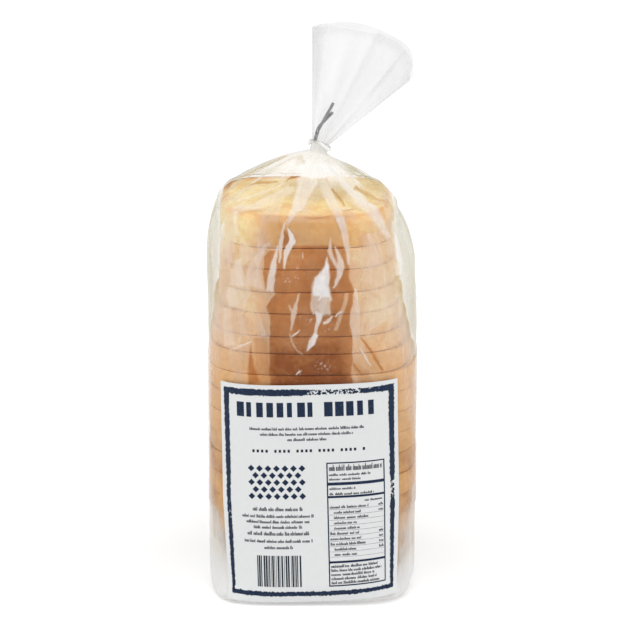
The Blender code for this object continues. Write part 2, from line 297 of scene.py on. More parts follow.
def mesh_piece(name, points, faces, materials, slot, face_materials=None, smooth=True, **attributes):
    """A piece that rides with the bag. Its faces come as arrays of corner numbers, one array for
    each number of corners."""
    points = np.asarray(points, np.float32).reshape(-1, 3)
    corners = np.concatenate([np.asarray(group, np.int32).ravel() for group in faces])
    totals = np.concatenate([np.full(len(group), len(group[0]), np.int32) for group in faces])
    mesh = bpy.data.meshes.new(name)
    mesh.vertices.add(len(points))
    mesh.vertices.foreach_set("co", points.ravel())
    mesh.loops.add(len(corners))
    mesh.loops.foreach_set("vertex_index", corners)
    mesh.polygons.add(len(totals))
    mesh.polygons.foreach_set("loop_start", np.cumsum(totals) - totals)
    for material in materials:
        mesh.materials.append(material)
    if face_materials is not None:
        mesh.polygons.foreach_set("material_index", np.asarray(face_materials, np.int32))
    mesh.polygons.foreach_set("use_smooth", np.full(len(totals), smooth))
    for attribute, values in attributes.items():
        layer = mesh.attributes.new(attribute, "FLOAT", "POINT")
        layer.data.foreach_set("value", np.asarray(values, np.float32).ravel())
    mesh.update(calc_edges=True)
    mesh.validate()
    piece = new_object(name, mesh)
    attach(piece, BODY)
    return piece


def fan_faces(ring, tip):
    """Triangles that join a ring of corners, in order, to one corner above it."""
    ring = np.asarray(ring)
    return np.stack((ring, np.roll(ring, -1), np.full(len(ring), tip)), -1)


def grid_faces(rows, columns, closed=True, first=0):
    """Quads of a grid of points, row by row from the base, that face out if columns run
    anticlockwise seen from above."""
    row, column = np.meshgrid(np.arange(rows - 1), np.arange(columns if closed else columns - 1))
    row, column = row.T.ravel(), column.T.ravel()
    after = (column + 1) % columns
    quads = (row * columns + column, row * columns + after)
    quads += ((row + 1) * columns + after, (row + 1) * columns + column)
    return np.stack(quads, -1) + first


# ---------------------------------------------------------------- the bag's shape


def oval(angle, half_width, front, back, front_power, back_power):
    """Points at these angles on a rounded square whose front and back differ."""
    behind = np.sin(angle) > 0.0
    depth = np.where(behind, back, front)
    power = np.where(behind, back_power, front_power)
    across = np.abs(np.cos(angle) / half_width) ** power
    along = np.abs(np.sin(angle) / depth) ** power
    reach = (across + along) ** (-1.0 / power)
    return reach * np.cos(angle), reach * np.sin(angle)


def shoulder_share(z):
    """How far a height is from the shoulder, 0, to the neck, 1."""
    return np.maximum(0.0, (z - SHOULDER_Z) / (NECK_Z - SHOULDER_Z))


def crown_depth(share):
    """The bag's depth: full up to the loaf's top edge, then a straight slope to the neck."""
    slope = np.maximum(1e-6, (1.0 - share) / (1.0 - shoulder_share(CROWN_EDGE_Z)))
    return (1.0 + slope**-CROWN_EDGE_SHARPNESS) ** (-1.0 / CROWN_EDGE_SHARPNESS)


def bag_point(angle, z):
    """Points of the bag's smooth outer surface, from the base up to the neck."""
    angle, z = np.broadcast_arrays(np.asarray(angle, float), np.asarray(z, float))
    share = shoulder_share(z)
    width = 1.0 - share**SHOULDER_WIDTH_POWER
    depth = crown_depth(share)
    low = np.maximum(0.0, 1.0 - z / BASE_ROUND)
    inset = BASE_INSET + BASE_INSET_RIGHT * (0.5 + 0.5 * np.cos(angle)) ** 2
    grow = 1.0 - inset * (1.0 - np.sqrt(1.0 - low * low))
    roundness = 1.0 - share**SHOULDER_ROUNDING_POWER
    x, y = oval(
        angle,
        grow * (NECK_HALF_WIDTH + (HALF_WIDTH - NECK_HALF_WIDTH) * width),
        grow * (NECK_HALF_DEPTH + (FRONT_DEPTH - NECK_HALF_DEPTH) * depth),
        grow * (NECK_HALF_DEPTH + (BACK_DEPTH - NECK_HALF_DEPTH) * depth),
        2.0 + (FRONT_POWER - 2.0) * roundness + BASE_SQUARENESS * low * low,
        2.0 + (BACK_POWER - 2.0) * roundness,
    )
    turn = NECK_TILT * share**NECK_TILT_POWER
    gathered = share**NECK_LEAN_POWER
    lean = NECK_X * gathered - SHOULDER_LEAN * share**SHOULDER_LEAN_POWER * (1.0 - gathered)
    return np.stack((x * np.cos(turn) + lean, y, z - x * np.sin(turn)), -1)


def bag_outward(angle, z):
    """Unit vectors square to the bag's smooth surface."""
    step = 1e-4
    around = bag_point(angle + step, z) - bag_point(angle - step, z)
    up = bag_point(angle, np.minimum(z + step, NECK_Z)) - bag_point(angle, np.maximum(z - step, 0.0))
    outward = np.cross(around, up)
    return outward / np.maximum(np.linalg.norm(outward, axis=-1, keepdims=True), 1e-12)


def neck_point(angle, height, outset=0.0):
    """Points round the neck, this high along it and this far outside it."""
    across = (NECK_HALF_WIDTH + outset) * np.cos(angle)
    along = (NECK_HALF_DEPTH + outset) * np.sin(angle)
    x = NECK_X + across * math.cos(NECK_TILT) + height * math.sin(NECK_TILT)
    z = NECK_Z - across * math.sin(NECK_TILT) + height * math.cos(NECK_TILT)
    return np.stack(np.broadcast_arrays(x, along, z), -1)


FRONT = -0.5 * math.pi
RING_Z = 0.12


def ring_table(z=RING_Z, count=1440):
    """Angles once round the bag from the middle of its back, with their distance round it.
    The distance is 0 at the middle of the front and grows to +X."""
    angles = FRONT - math.pi + 2.0 * math.pi * np.arange(count + 1) / count
    steps = np.linalg.norm(np.diff(bag_point(angles, z), axis=0), axis=1)
    lengths = np.concatenate(([0.0], np.cumsum(steps)))
    return angles, lengths - np.interp(FRONT, angles, lengths)


RING_ANGLES, RING_LENGTHS = ring_table()
GIRTH = RING_LENGTHS[-1] - RING_LENGTHS[0]


# ---------------------------------------------------------------- bread


def joint_heights():
    """Heights where one slice meets the next, from the base heel's top up."""
    even = SLICE_COUNT - len(TOP_SLICES) - 1
    even_top = LOAF_HEIGHT - sum(TOP_SLICES)
    heights = [BASE_HEEL + (even_top - BASE_HEEL) * number / even for number in range(even + 1)]
    for thickness in reversed(TOP_SLICES[1:]):
        heights.append(heights[-1] + thickness)
    return heights


def slice_plan(draw):
    """(low z, high z, half width, centre x, front, back, turn, bake) of each slice from the top."""
    cuts = [LOAF_BASE_Z] + joint_heights() + [LOAF_HEIGHT]
    width_spread, centre_spread, front_spread, back_spread = SLICE_SPREAD
    plans = []
    for number in range(SLICE_COUNT):
        low, high = cuts[-2 - number], cuts[-1 - number]
        middle = 0.5 * (low + high)
        half_width = LOAF_HALF_WIDTH + draw.uniform(*width_spread)
        centre = LOAF_CENTRE + draw.uniform(*centre_spread)
        if number < len(TOP_HALF_WIDTHS):
            half_width, centre = TOP_HALF_WIDTHS[number], TOP_CENTRES[number]
        from_base = SLICE_COUNT - 1 - number
        if from_base < len(BASE_HALF_WIDTHS):
            half_width, centre = BASE_HALF_WIDTHS[from_base], BASE_CENTRES[from_base]
        front = -bag_point(FRONT, middle)[1] - FILM_CLEARANCE - draw.uniform(*front_spread)
        back = bag_point(-FRONT, middle)[1] - FILM_CLEARANCE - draw.uniform(*back_spread)
        if from_base == 0:
            front, back = front - BASE_HEEL_SHORT[0], back - BASE_HEEL_SHORT[1]
        turn = math.radians(draw.uniform(*TURN_SPREAD))
        bake = draw.uniform(*BAKE_SPREAD)
        plans.append((low, high, half_width, centre, front, back, turn, bake))
    return plans


def slice_angles():
    """Angles round a slice, closer together along its front."""
    share = np.arange(SLICE_COLUMNS) / SLICE_COLUMNS
    return FRONT + 2.0 * math.pi * share - 0.45 * np.sin(2.0 * math.pi * share)


def loaf_oval(angle, half_width, front, back):
    """Points at these angles round a slice, before it is moved or turned."""
    return oval(angle, half_width, front, back, LOAF_FRONT_POWER, LOAF_BACK_POWER)


def crown_share(angle, half_width, z):
    """How brown the crust is: brown down the crown's middle and most so low down, partly as
    painted shade there, golden beside it, and pale where the pan covered it."""
    x = half_width * np.cos(angle) / np.maximum(np.abs(np.cos(angle)), np.abs(np.sin(angle)))
    front = smoothstep(0.05, 0.75, -np.sin(angle))
    middle, beside, side = (read_off(bakes, z) for bakes in (MIDDLE_BAKE_AND_SHADE, BAKE_BESIDE, BAKE_SIDES))
    beside = beside * (1.0 - 0.8 * smoothstep(-0.018, -0.032, x) * smoothstep(0.222, 0.231, z))
    across = smoothstep(0.020, 0.036, np.abs(x + 0.0025))
    crown = middle * (1.0 - across) + beside * across
    return crown * front + side * (1.0 - front)


def inside_bag(x, y, z, clearance):
    """The same points, drawn in where they would come closer than this to the film."""
    film = bag_point(RING_ANGLES, z)
    bearing, reach = np.arctan2(film[:, 1], film[:, 0]), np.hypot(film[:, 0], film[:, 1])
    room = np.interp(np.arctan2(y, x), bearing, reach, period=2.0 * math.pi) - clearance
    grow = np.minimum(1.0, room / np.maximum(np.hypot(x, y), 1e-6))
    return x * grow, y * grow


def slice_profile(low, high, low_round, top_round):
    """(z, inset, face) of each ring: from the middle of the cut below, where face is -1, up the
    crust, 0, to the middle of the cut above, 1."""
    bends = [0.5 * math.pi * step / RIM_STEPS for step in range(RIM_STEPS + 1)]
    wall = [(low + low_round * (1 - math.cos(bend)), low_round * (1 - math.sin(bend))) for bend in bends]
    span = high - top_round - low - low_round
    for step in range(1, CRUST_STEPS):
        share = step / CRUST_STEPS
        wall.append((low + low_round + span * share, -CRUST_BOW * math.sin(math.pi * share)))
    for bend in reversed(bends):
        wall.append((high - top_round * (1 - math.cos(bend)), top_round * (1 - math.sin(bend))))
    rings = [(low, low_round + inset, -1) for inset in reversed(CUT_RINGS)]
    rings += [(z, inset, 0) for z, inset in wall]
    return rings + [(high, top_round + inset, 1) for inset in CUT_RINGS]


def slice_rings(number, plan, angles, seed):
    """Rings of points over a slice's cut faces and its crust, with a bake and a crumb value each."""
    low, high, half_width, centre, front, back, turn, own_bake = plan
    heel_up, heel_down = number == 0, number == SLICE_COUNT - 1
    low += 0.0 if heel_down else 0.5 * SLICE_GAP
    high -= 0.0 if heel_up else 0.5 * SLICE_GAP
    top_round = TOP_HEEL_ROUND if heel_up else CUT_ROUND
    low_round = BASE_HEEL_ROUND if heel_down else CUT_ROUND
    points, bake, crumb = [], [], []
    cos_turn, sin_turn = math.cos(turn), math.sin(turn)
    length = np.interp(angles, RING_ANGLES, RING_LENGTHS, period=2 * math.pi)
    (broad, broad_pitch), (fine, fine_pitch) = CRUST_RELIEF
    # The rims are rounded on the front and back, and nearly sharp on the sides.
    tight = 1.0 - 0.88 * smoothstep(0.35, 0.8, np.abs(np.cos(angles)))
    for z, inset, face in slice_profile(low, high, low_round, top_round):
        heel_face = (heel_up and face > 0) or (heel_down and face < 0)
        if not face and 0.0 < inset < CUT_ROUND:
            inset = inset * tight
        x, y = loaf_oval(angles, half_width - inset, front - inset, back - inset)
        relief = broad * swell(length, z, broad_pitch, seed)
        relief = relief + fine * swell(length, z, fine_pitch, seed + 1)
        rough = 0.0
        if face:
            depth, pitch = HEEL_RELIEF if heel_face else CRUMB_RELIEF
            rough = -face * depth * (0.5 + 0.5 * swell(x, y, pitch, seed + 2))
            if heel_up and face > 0:
                rough = rough + TOP_HEEL_DOME * smoothstep(0.0, 0.030, inset)
            relief = relief * 0.3
        grow = 1.0 + relief / np.maximum(np.hypot(x, y), 1e-4)
        x, y = x * grow, y * grow
        moved_x, moved_y = centre + x * cos_turn - y * sin_turn, x * sin_turn + y * cos_turn
        x, y = inside_bag(moved_x, moved_y, z, LEAST_CLEARANCE)
        points.append(np.stack((x, y, np.broadcast_to(z + rough, x.shape)), -1))
        shade = crown_share(angles, half_width, z) + own_bake
        if heel_face:
            near_rim = smoothstep(0.4, 0.9, np.abs(np.sin(angles))) * smoothstep(0.016, 0.0, inset)
            rear_left = smoothstep(0.0, 0.3, np.sin(angles)) * smoothstep(0.1, -0.1, np.cos(angles))
            shade = 0.05 + (0.20 + 0.34 * rear_left) * near_rim
        elif heel_up and z > high - top_round:
            shade = shade * smoothstep(top_round, 0.0015, inset) + 0.03
            rear = smoothstep(0.2, 0.6, np.sin(angles)) * smoothstep(0.1, -0.2, np.cos(angles))
            shade += (0.15 + 0.70 * rear) * smoothstep(0.0, 0.002, inset)
        bake.append(shade)
        crumb.append(int(bool(face) and not heel_face and inset > CUT_ROUND + CUT_CRUST))
    return np.array(points), np.array(bake), np.array(crumb)


def make_slice(number, plan, finishes, seed):
    """One slice, with a crust and two cut faces. A heel has crust on its outer end."""
    angles = slice_angles()
    points, bake, crumb = slice_rings(number, plan, angles, seed)
    rings, count = points.shape[:2]
    walls = grid_faces(rings, count)
    low, high = rings * count, rings * count + 1
    caps = np.concatenate((
        fan_faces(np.arange(count)[::-1], low),
        fan_faces(np.arange(count) + (rings - 1) * count, high),
    ))
    cut = np.concatenate((crumb[walls[:, 0] // count], np.repeat(crumb[[0, -1]], count)))
    flat = np.concatenate((points.reshape(-1, 3), [points[0].mean(0), points[-1].mean(0)]))
    mesh_piece(
        f"slice_{number + 1:02d}", flat, (walls, caps), finishes, "bag", cut,
        bake=np.concatenate((bake.ravel(), [bake[0].mean(), bake[-1].mean()])),
    )


def crust_material(settings):
    """Baked bread crust: matt and dry, brown where the crown met the oven's air and pale
    yellow where the pan covered it, with fine blisters and darker flecks."""
    material, tree, where = new_material("baked_bread_crust")
    # The bake attribute holds how brown the crust is, darker low on the crown partly as painted shade.
    bake = add_node(tree, "Attribute", attribute_name="bake").outputs["Fac"]
    cloud = add_node(tree, "TexNoise", {"Vector": where, "Scale": 1 / (16 * MM), "Detail": 3.0})
    mottle = add_node(tree, "TexNoise", {"Vector": where, "Scale": 1 / (3.2 * MM), "Detail": 4.0})
    shift = add_node(tree, "MapRange", {0: cloud.outputs["Fac"], 1: 0.3, 2: 0.7, 3: -0.13, 4: 0.13})
    fine = add_node(tree, "MapRange", {0: mottle.outputs["Fac"], 1: 0.3, 2: 0.7, 3: -0.08, 4: 0.08})
    both = add_node(tree, "Math", {0: shift.outputs[0], 1: fine.outputs[0]}, operation="ADD")
    depth = add_node(tree, "Math", {0: bake, 1: both.outputs[0]}, operation="ADD")
    ramp = add_node(tree, "ValToRGB", {0: depth.outputs[0]})
    stops = ((0.0, settings.pale_crust), (0.34, settings.golden_crust),
             (0.70, settings.brown_crust), (1.0, settings.dark_crust))
    elements = ramp.color_ramp.elements
    elements[1].position = 1.0
    for place, _ in stops[1:-1]:
        elements.new(place)
    for element, (place, code) in zip(elements, stops):
        element.color = to_linear(code)
    fleck = add_node(tree, "TexVoronoi", {"Vector": where, "Scale": 1 / (2.6 * MM)})
    spot = add_node(tree, "MapRange", {0: fleck.outputs["Distance"], 1: 0.05, 2: 0.16, 3: 0.72, 4: 1.0})
    colour = add_node(tree, "Mix", {0: 1.0, 6: ramp.outputs["Color"], 7: spot.outputs[0]},
                      data_type="RGBA", blend_type="MULTIPLY")
    grain = add_node(tree, "TexNoise", {"Vector": where, "Scale": 1 / (0.9 * MM), "Detail": 3.0})
    bump = add_node(tree, "Bump", {
        "Height": grain.outputs["Fac"], "Distance": 0.25 * MM, "Strength": 0.5})
    rough = add_node(tree, "MapRange", {0: mottle.outputs["Fac"], 3: 0.50, 4: 0.70})
    shader = add_node(tree, "BsdfPrincipled", {
        "Base Color": colour.outputs[2], "Roughness": rough.outputs[0], "Normal": bump.outputs[0],
        "Specular IOR Level": 0.2,
    })
    return surfaced(material, shader)


def crumb_material(settings):
    """Open white crumb: soft, pale and full of small holes where the knife cut it, with painted shade
    darkening the holes.
    """
    material, tree, where = new_material("open_bread_crumb")
    holes = add_node(tree, "TexVoronoi", {"Vector": where, "Scale": 1 / (2.2 * MM)})
    hole_depth_and_shade = add_node(tree, "MapRange", {0: holes.outputs["Distance"], 1: 0.0, 2: 0.55, 3: 0.0, 4: 1.0})
    # Painted shade: the holes' middles are coloured darker, as shade falls in them.
    colour = add_node(tree, "Mix", {
        0: hole_depth_and_shade.outputs[0], 6: to_linear("#D9C08F"), 7: to_linear(settings.crumb)}, data_type="RGBA")
    bump = add_node(tree, "Bump", {"Height": hole_depth_and_shade.outputs[0], "Distance": 0.7 * MM, "Strength": 0.8})
    shader = add_node(tree, "BsdfPrincipled", {
        "Base Color": colour.outputs[2], "Roughness": 0.85, "Normal": bump.outputs[0],
        "Subsurface Weight": 0.15, "Subsurface Scale": 1.0 * MM,
    })
    return surfaced(material, shader)


def grain_mesh(draw, size):
    """One gritty grain: an uneven eight-faced lump."""
    tips = np.array(((1, 0, 0), (0, 1, 0), (-1, 0, 0), (0, -1, 0), (0, 0, 1), (0, 0, -1)), float)
    tips *= size * draw.uniform(0.6, 1.2, (6, 1))
    above = [(corner, (corner + 1) % 4, 4) for corner in range(4)]
    below = [((corner + 1) % 4, corner, 5) for corner in range(4)]
    faces = np.array(above + below)
    turn = Matrix.Rotation(draw.uniform(0, 6.28), 3, Vector(draw.normal(size=3)).normalized())
    return tips @ np.array(turn).T, faces


def make_grains(plans, count, seed):
    """Grains of corn meal on the crusts of the top slices, most of them in front."""
    draw = np.random.default_rng(seed)
    points, faces = [], []
    for _ in range(count):
        low, high, half_width, centre, front, back, _, _ = plans[int(draw.integers(0, MEAL_SLICES))]
        angle = FRONT + draw.normal(0.0, MEAL_SPREAD)
        z = draw.uniform(low + 0.0015, min(high - 0.0015, LOAF_HEIGHT - 0.0060))
        x, y = loaf_oval(angle, half_width, front, back)
        tips, shape = grain_mesh(draw, draw.uniform(*MEAL_SIZE))
        reach = 1.0 + MEAL_LIFT / math.hypot(x, y)
        spot = np.array((centre + x * reach, y * reach, z))
        faces.append(shape + 6 * len(points))
        points.append(tips + spot)
    return np.concatenate(points), np.concatenate(faces)


def meal_material():
    """Corn meal: hard, dry, pale yellow grit."""
    material, tree, where = new_material("corn_meal_grit")
    noise = add_node(tree, "TexNoise", {"Vector": where, "Scale": 1 / (1.5 * MM)})
    colour = add_node(tree, "Mix", {
        0: noise.outputs["Fac"], 6: to_linear("#D8B878"), 7: to_linear("#F3E6C2")}, data_type="RGBA")
    shader = add_node(tree, "BsdfPrincipled", {"Base Color": colour.outputs[2], "Roughness": 0.7})
    return surfaced(material, shader)


# ---------------------------------------------------------------- film


# Steps of the film's grid: fine across its front and above the label, and wide elsewhere
FINE_HALF_WIDTH = 0.046
FINE_STEP = 0.0005
WIDE_STEP = 0.0021
FINE_FROM_Z = 0.140
SHORT_STEP = 0.00068
TALL_STEP = 0.0022
BASE_ROWS = 9
# Creases over all of the film, as pitches (across, up): broad ones and fine ones
BROAD_CREASES = (0.013, 0.034)
FINE_CREASES = (0.0060, 0.0150)
# How far the film lies inside the smooth bag: at least, by its creases, and by its pleats
LEAST_INSET = 0.0002
BROAD_INSET = 0.0011
FREE_INSET = 0.0005
REAR_INSET = 0.0004
FINE_INSET = 0.00028
PLEAT_INSET = 0.0026
NECK_INSET = 0.0008
FOLD_OUTSET = 0.0004
# Haze beside the crown and how unevenly it lies there, by height
HAZE_BESIDE = ((0.100, 0.05), (0.130, 0.13), (0.150, 0.17), (0.175, 0.32), (0.225, 0.32), (0.245, 0.16))
HAZE_UNEVEN = ((0.100, 0.06), (0.160, 0.18))
# Where the fog under the tie begins, as (x in millimetres, height in metres), and the veil over
# the heel's rear, as (x, up) in millimetres
FOG_START = ((-20.0, 0.2680), (-6.0, 0.2590))
VEIL_START = ((-10.0, 245.0), (4.0, 239.0))
# Haze of the fog, the veil, the painted glints, the base, the film beyond the loaf, and the film
# low down where it stands off the bread
FOG_HAZE = 0.66
VEIL_HAZE = 0.62
GLINT_HAZE = 0.36
BASE_HAZE = 0.78
BEYOND_HAZE = 0.16
LOOSE_HAZE = (0.16, 0.64)
MOST_HAZE = 0.95
# How far the edges of the marks wander, in millimetres
MARK_WANDER = 0.35
# The base's film closes to its middle in rings, at these shares of the way out
BASE_RINGS = (0.86, 0.66, 0.42, 0.18)


def stepped(stops):
    """Places from (place, step after it) pairs, the last pair's step unused."""
    runs = []
    for (start, step), (end, _) in zip(stops, stops[1:]):
        runs.append(np.linspace(start, end, max(1, round((end - start) / step)), endpoint=False))
    return np.concatenate(runs)


def facet_field(columns, rows, pitch_across, pitch_up, seed):
    """Two fields over the film's grid, cut into flat triangles with creases between them:
    a height from 0 to 1 that bends only at the creases, and a value of each triangle's own.
    Distances across run once round the bag and meet behind it."""
    draw = np.random.default_rng(seed)
    wander_across, wander_up = 0.38, 0.40
    count = max(3, round(GIRTH / pitch_across))
    low, high = rows[0] - pitch_up, rows[-1] + pitch_up
    levels = round((high - low) / pitch_up) + 1
    spots, heights = [], []
    for level in range(levels):
        for number in range(count):
            wander = 0.5 * (level % 2) + draw.uniform(-wander_across, wander_across)
            across = GIRTH * ((number + wander) / count - 0.5)
            up = low + pitch_up * (level + draw.uniform(-wander_up, wander_up))
            height = draw.uniform()
            for copy in (-GIRTH, 0.0, GIRTH):
                if abs(across + copy) < 0.62 * GIRTH:
                    spots.append((across + copy, up))
                    heights.append(height)
    stretch = pitch_up / pitch_across
    flat = [Vector((x * stretch, y)) for x, y in spots]
    triangles = delaunay_2d_cdt(flat, [], [], 0, 1e-7)[2]
    spots, heights = np.array(spots), np.array(heights)
    field = np.zeros((len(rows), len(columns)))
    patch = np.zeros_like(field)
    own = draw.uniform(size=len(triangles))
    for number, corners in enumerate(triangles):
        a, b, c = spots[list(corners)]
        left, right = np.searchsorted(columns, (min(a[0], b[0], c[0]), max(a[0], b[0], c[0])))
        down, top = np.searchsorted(rows, (min(a[1], b[1], c[1]), max(a[1], b[1], c[1])))
        if left == right or down == top:
            continue
        x, y = np.meshgrid(columns[left:right], rows[down:top])
        area = (b[0] - a[0]) * (c[1] - a[1]) - (c[0] - a[0]) * (b[1] - a[1])
        share_b = ((x - a[0]) * (c[1] - a[1]) - (c[0] - a[0]) * (y - a[1])) / area
        share_c = ((b[0] - a[0]) * (y - a[1]) - (x - a[0]) * (b[1] - a[1])) / area
        share_a = 1.0 - share_b - share_c
        inside = (share_a >= -1e-6) & (share_b >= -1e-6) & (share_c >= -1e-6)
        at_a, at_b, at_c = heights[list(corners)]
        height = share_a * at_a + share_b * at_b + share_c * at_c
        field[down:top, left:right][inside] = height[inside]
        patch[down:top, left:right][inside] = own[number]
    return field, patch


def film_grid():
    """Distances round the bag, heights and distances up the film of its grid's columns and
    rows, closest where its front shows."""
    half = 0.5 * GIRTH
    edges, steps = (-half, -FINE_HALF_WIDTH, FINE_HALF_WIDTH), (WIDE_STEP, FINE_STEP, WIDE_STEP)
    columns = stepped((*zip(edges, steps), (half, 1.0)))
    base = BASE_ROUND * (1.0 - np.cos(0.5 * math.pi * np.arange(BASE_ROWS) / BASE_ROWS))
    heights = BASE_ROUND + (NECK_Z - BASE_ROUND) * (1.0 - (1.0 - np.linspace(0.0, 1.0, 4001)) ** 1.5)
    profile = bag_point(FRONT, heights)
    lengths = np.concatenate(([0.0], np.cumsum(np.linalg.norm(np.diff(profile, axis=0), axis=1))))
    lengths = lengths + BASE_ROUND
    label_top = np.interp(FINE_FROM_Z, heights, lengths)
    ups = stepped(((BASE_ROUND, TALL_STEP), (label_top, SHORT_STEP), (lengths[-1], 1.0)))
    rows = np.concatenate((base, np.interp(ups, lengths, heights), [NECK_Z]))
    return columns, rows, np.concatenate((base, ups, [lengths[-1]]))


# Marks on the film's front lie on a sheet that leans back by this much: x and up, in millimetres.
SHEET_LEAN = math.radians(15.0)
# Bearings of the crests of the pleats on the bag's front, from +X
FRONT_PLEATS = (-110.0, -73.0, -50.0, -143.0, -177.0, -25.0, -3.0)
# Folds that stand off the crust and look white, and painted highlights and glints: reflections of
# the lamps on the film, laid in as white haze. For each: three points it passes, its half width at
# each of them, and how white it is
WHITE_FOLDS_AND_HIGHLIGHTS = (
    # Fog under the tie
    ((-6, 263), (2, 256), (3, 248), (5, 8, 7), 0.80),
    ((10, 262), (22, 256), (34, 249), (3, 4, 3), 0.60),
    ((-6, 261), (-26, 257), (-46, 250), (3, 2.5, 2), 0.40),
    ((27, 252), (38, 247), (50, 240), (4, 4, 3), 0.70),
    # Pleats that fall over the heel
    ((-3, 249), (-8, 235), (-15, 221), (5.5, 3.5, 1), 0.50),
    ((6, 249), (12, 235), (17, 223), (4, 3.5, 2.5), 0.38),
    ((17, 224), (20, 212), (22, 196), (2.5, 1.8, 0.7), 0.56),
    ((20, 249), (33, 233), (47, 213), (5, 4, 1.5), 0.50),
    ((-12, 243), (-30, 235), (-48, 229), (2, 3, 2), 0.34),
    ((-18, 246), (-30, 242), (-46, 236), (0.5, 1, 0.6), 0.34),
    # A painted highlight: the bright line of light along a fold beside the loaf's left side, laid in as
    # white haze
    ((-55, 221), (-57, 208), (-57, 194), (0.7, 0.9, 0.7), 0.60),
    ((-47, 228), (-47, 222), (-47, 214), (1, 1.2, 1), 0.50),
    # Painted highlights down the crown: flame-shaped reflections of the lamps on the film's facets, laid
    # in as white haze
    ((-17, 221), (-19, 210), (-20, 197), (0.5, 1.3, 0.4), 0.60),
    ((-15, 218), (-13, 213), (-12, 208), (0.3, 1.6, 1.8), 0.74),
    ((-12, 210), (-16, 202), (-17, 193), (1.8, 1.6, 0.3), 0.74),
    ((-21, 207), (-24, 194), (-26, 180), (0.3, 2, 2.3), 0.64),
    ((9, 199), (8, 192), (6, 186), (0.3, 2, 4.3), 0.85),
    ((6, 187), (5, 181), (6, 175), (4.3, 5.3, 5.6), 0.88),
    ((2, 176), (1, 171), (2, 166), (2.4, 2.4, 2), 0.44),
    ((8, 175), (7, 170), (8, 166), (3.2, 4, 3.4), 0.52),
    ((4, 166), (4, 163), (3, 159), (2.2, 2, 1), 0.72),
    ((3, 160), (2, 156), (2, 152), (1.2, 0.9, 1), 0.60),
    ((2, 153), (0, 149), (-3, 144), (1.6, 2.3, 0.6), 0.74),
    ((11, 211), (11, 203), (15, 195), (0.4, 1.4, 1), 0.50),
    ((14, 206), (17, 194), (13, 182), (0.3, 2.5, 0.5), 0.60),
    ((-8, 178), (-11, 168), (-13, 156), (0.3, 1.5, 0.4), 0.44),
    ((-14, 171), (-13, 168), (-11, 166), (0.4, 0.7, 0.4), 0.40),
    ((-14, 154), (-11, 146), (-6, 141), (0.3, 0.5, 0.3), 0.34),
    ((21, 178), (18, 167), (14, 156), (1, 1.2, 1), 0.24),
    # Painted glints: specks and short streaks of light caught on small wrinkles of the film, laid in as
    # white haze
    ((7, 160), (9, 161), (12, 164), (0.7, 1.1, 0.4), 0.66),
    ((-13, 152), (-10, 154), (-8, 156), (0.3, 0.5, 0.3), 0.70),
    ((-6, 203), (-6, 201), (-6, 199), (0.2, 0.3, 0.2), 0.50),
    ((14, 164), (16, 166), (18, 167), (0.4, 0.6, 0.4), 0.56),
    ((-10, 129), (-9, 130), (-7, 131), (0.4, 0.6, 0.3), 0.66),
    # Painted highlights beside the crown: broad reflections of the lamps on flat panels of the film,
    # laid in as white haze
    ((-27, 208), (-34, 198), (-35, 183), (1, 3.3, 5.5), 0.46),
    ((-46, 198), (-46, 191), (-46, 184), (2, 3, 4.5), 0.52),
    ((-50, 181), (-49, 176), (-48, 171), (2.3, 3.5, 3.5), 0.50),
    ((-52, 169), (-52, 158), (-51, 147), (2.4, 3, 3), 0.42),
    ((-36, 176), (-38, 163), (-36, 152), (3, 5, 3.5), 0.28),
    ((-50, 144), (-44, 146), (-38, 149), (0.4, 0.7, 0.5), 0.50),
    ((34, 214), (37, 205), (38, 195), (1, 2, 2.4), 0.46),
    ((28, 205), (31, 200), (32, 194), (1, 2.4, 2.8), 0.36),
    ((33, 192), (34, 184), (33, 178), (3, 4, 3), 0.34),
    ((49, 222), (53, 206), (53, 190), (0.4, 1.8, 2.2), 0.52),
    ((43, 194), (44, 180), (43, 164), (1, 2.4, 1.6), 0.40),
    ((52, 178), (53, 168), (53, 157), (1, 1.8, 1), 0.40),
    ((34, 172), (32, 162), (34, 152), (1.8, 3, 1.6), 0.34),
    ((26, 181), (27, 173), (27, 166), (0.8, 1, 0.8), 0.50),
    ((29, 145), (32, 140), (36, 134), (0.5, 0.6, 0.4), 0.50),
)
# Creases that cling to the bread, in the same form, with how clearly they cling
CLINGING_FOLDS = (
    ((-38, 146), (-38, 137), (-36, 124), (0.4, 1.8, 3.5), 1.0),
    ((-32, 150), (-31, 140), (-32, 124), (4, 4.5, 5), 0.5),
    ((30, 151), (37, 141), (43, 131), (0.6, 0.9, 0.8), 1.0),
    ((25, 135), (28, 131), (31, 128), (0.4, 0.7, 0.5), 1.0),
    ((25, 135), (30, 129), (36, 121), (1, 4, 3), 0.4),
    ((22, 192), (20, 183), (15, 175), (0.3, 0.5, 0.3), 0.6),
    ((27, 245), (36, 240), (44, 235), (0.8, 1, 0.5), 0.9),
    ((12, 244), (16, 240), (20, 234), (0.5, 0.9, 0.7), 0.9),
    ((19, 228), (23, 230), (27, 231), (0.3, 0.5, 0.3), 1.0),
    ((-5, 224), (3, 224), (12, 226), (0.2, 0.4, 0.2), 0.9),
    ((-42, 245), (-33, 247), (-22, 249), (0.5, 0.8, 0.4), 1.0),
    ((-16, 248), (-12, 250), (-8, 251), (0.5, 0.9, 0.5), 1.0),
    ((-56, 243), (-50, 245), (-42, 248), (0.8, 1.2, 0.6), 0.7),
    # Painted shade along the base: the clinging tint darkens the base heel's shaded lower rounding into
    # a dark line.
    ((-32, -8), (-15, -9), (12, -8), (0.3, 0.7, 0.3), 0.7),
)
# Painted glints: specks of white haze that stand for light caught on small wrinkles, gathered round
# these places: x, up and reach
GLINTS = ((-9, 190, 6), (-17, 186, 5), (-4, 163, 6), (8, 157, 5), (6, 136, 8), (16, 167, 5),
          (-9, 131, 4))
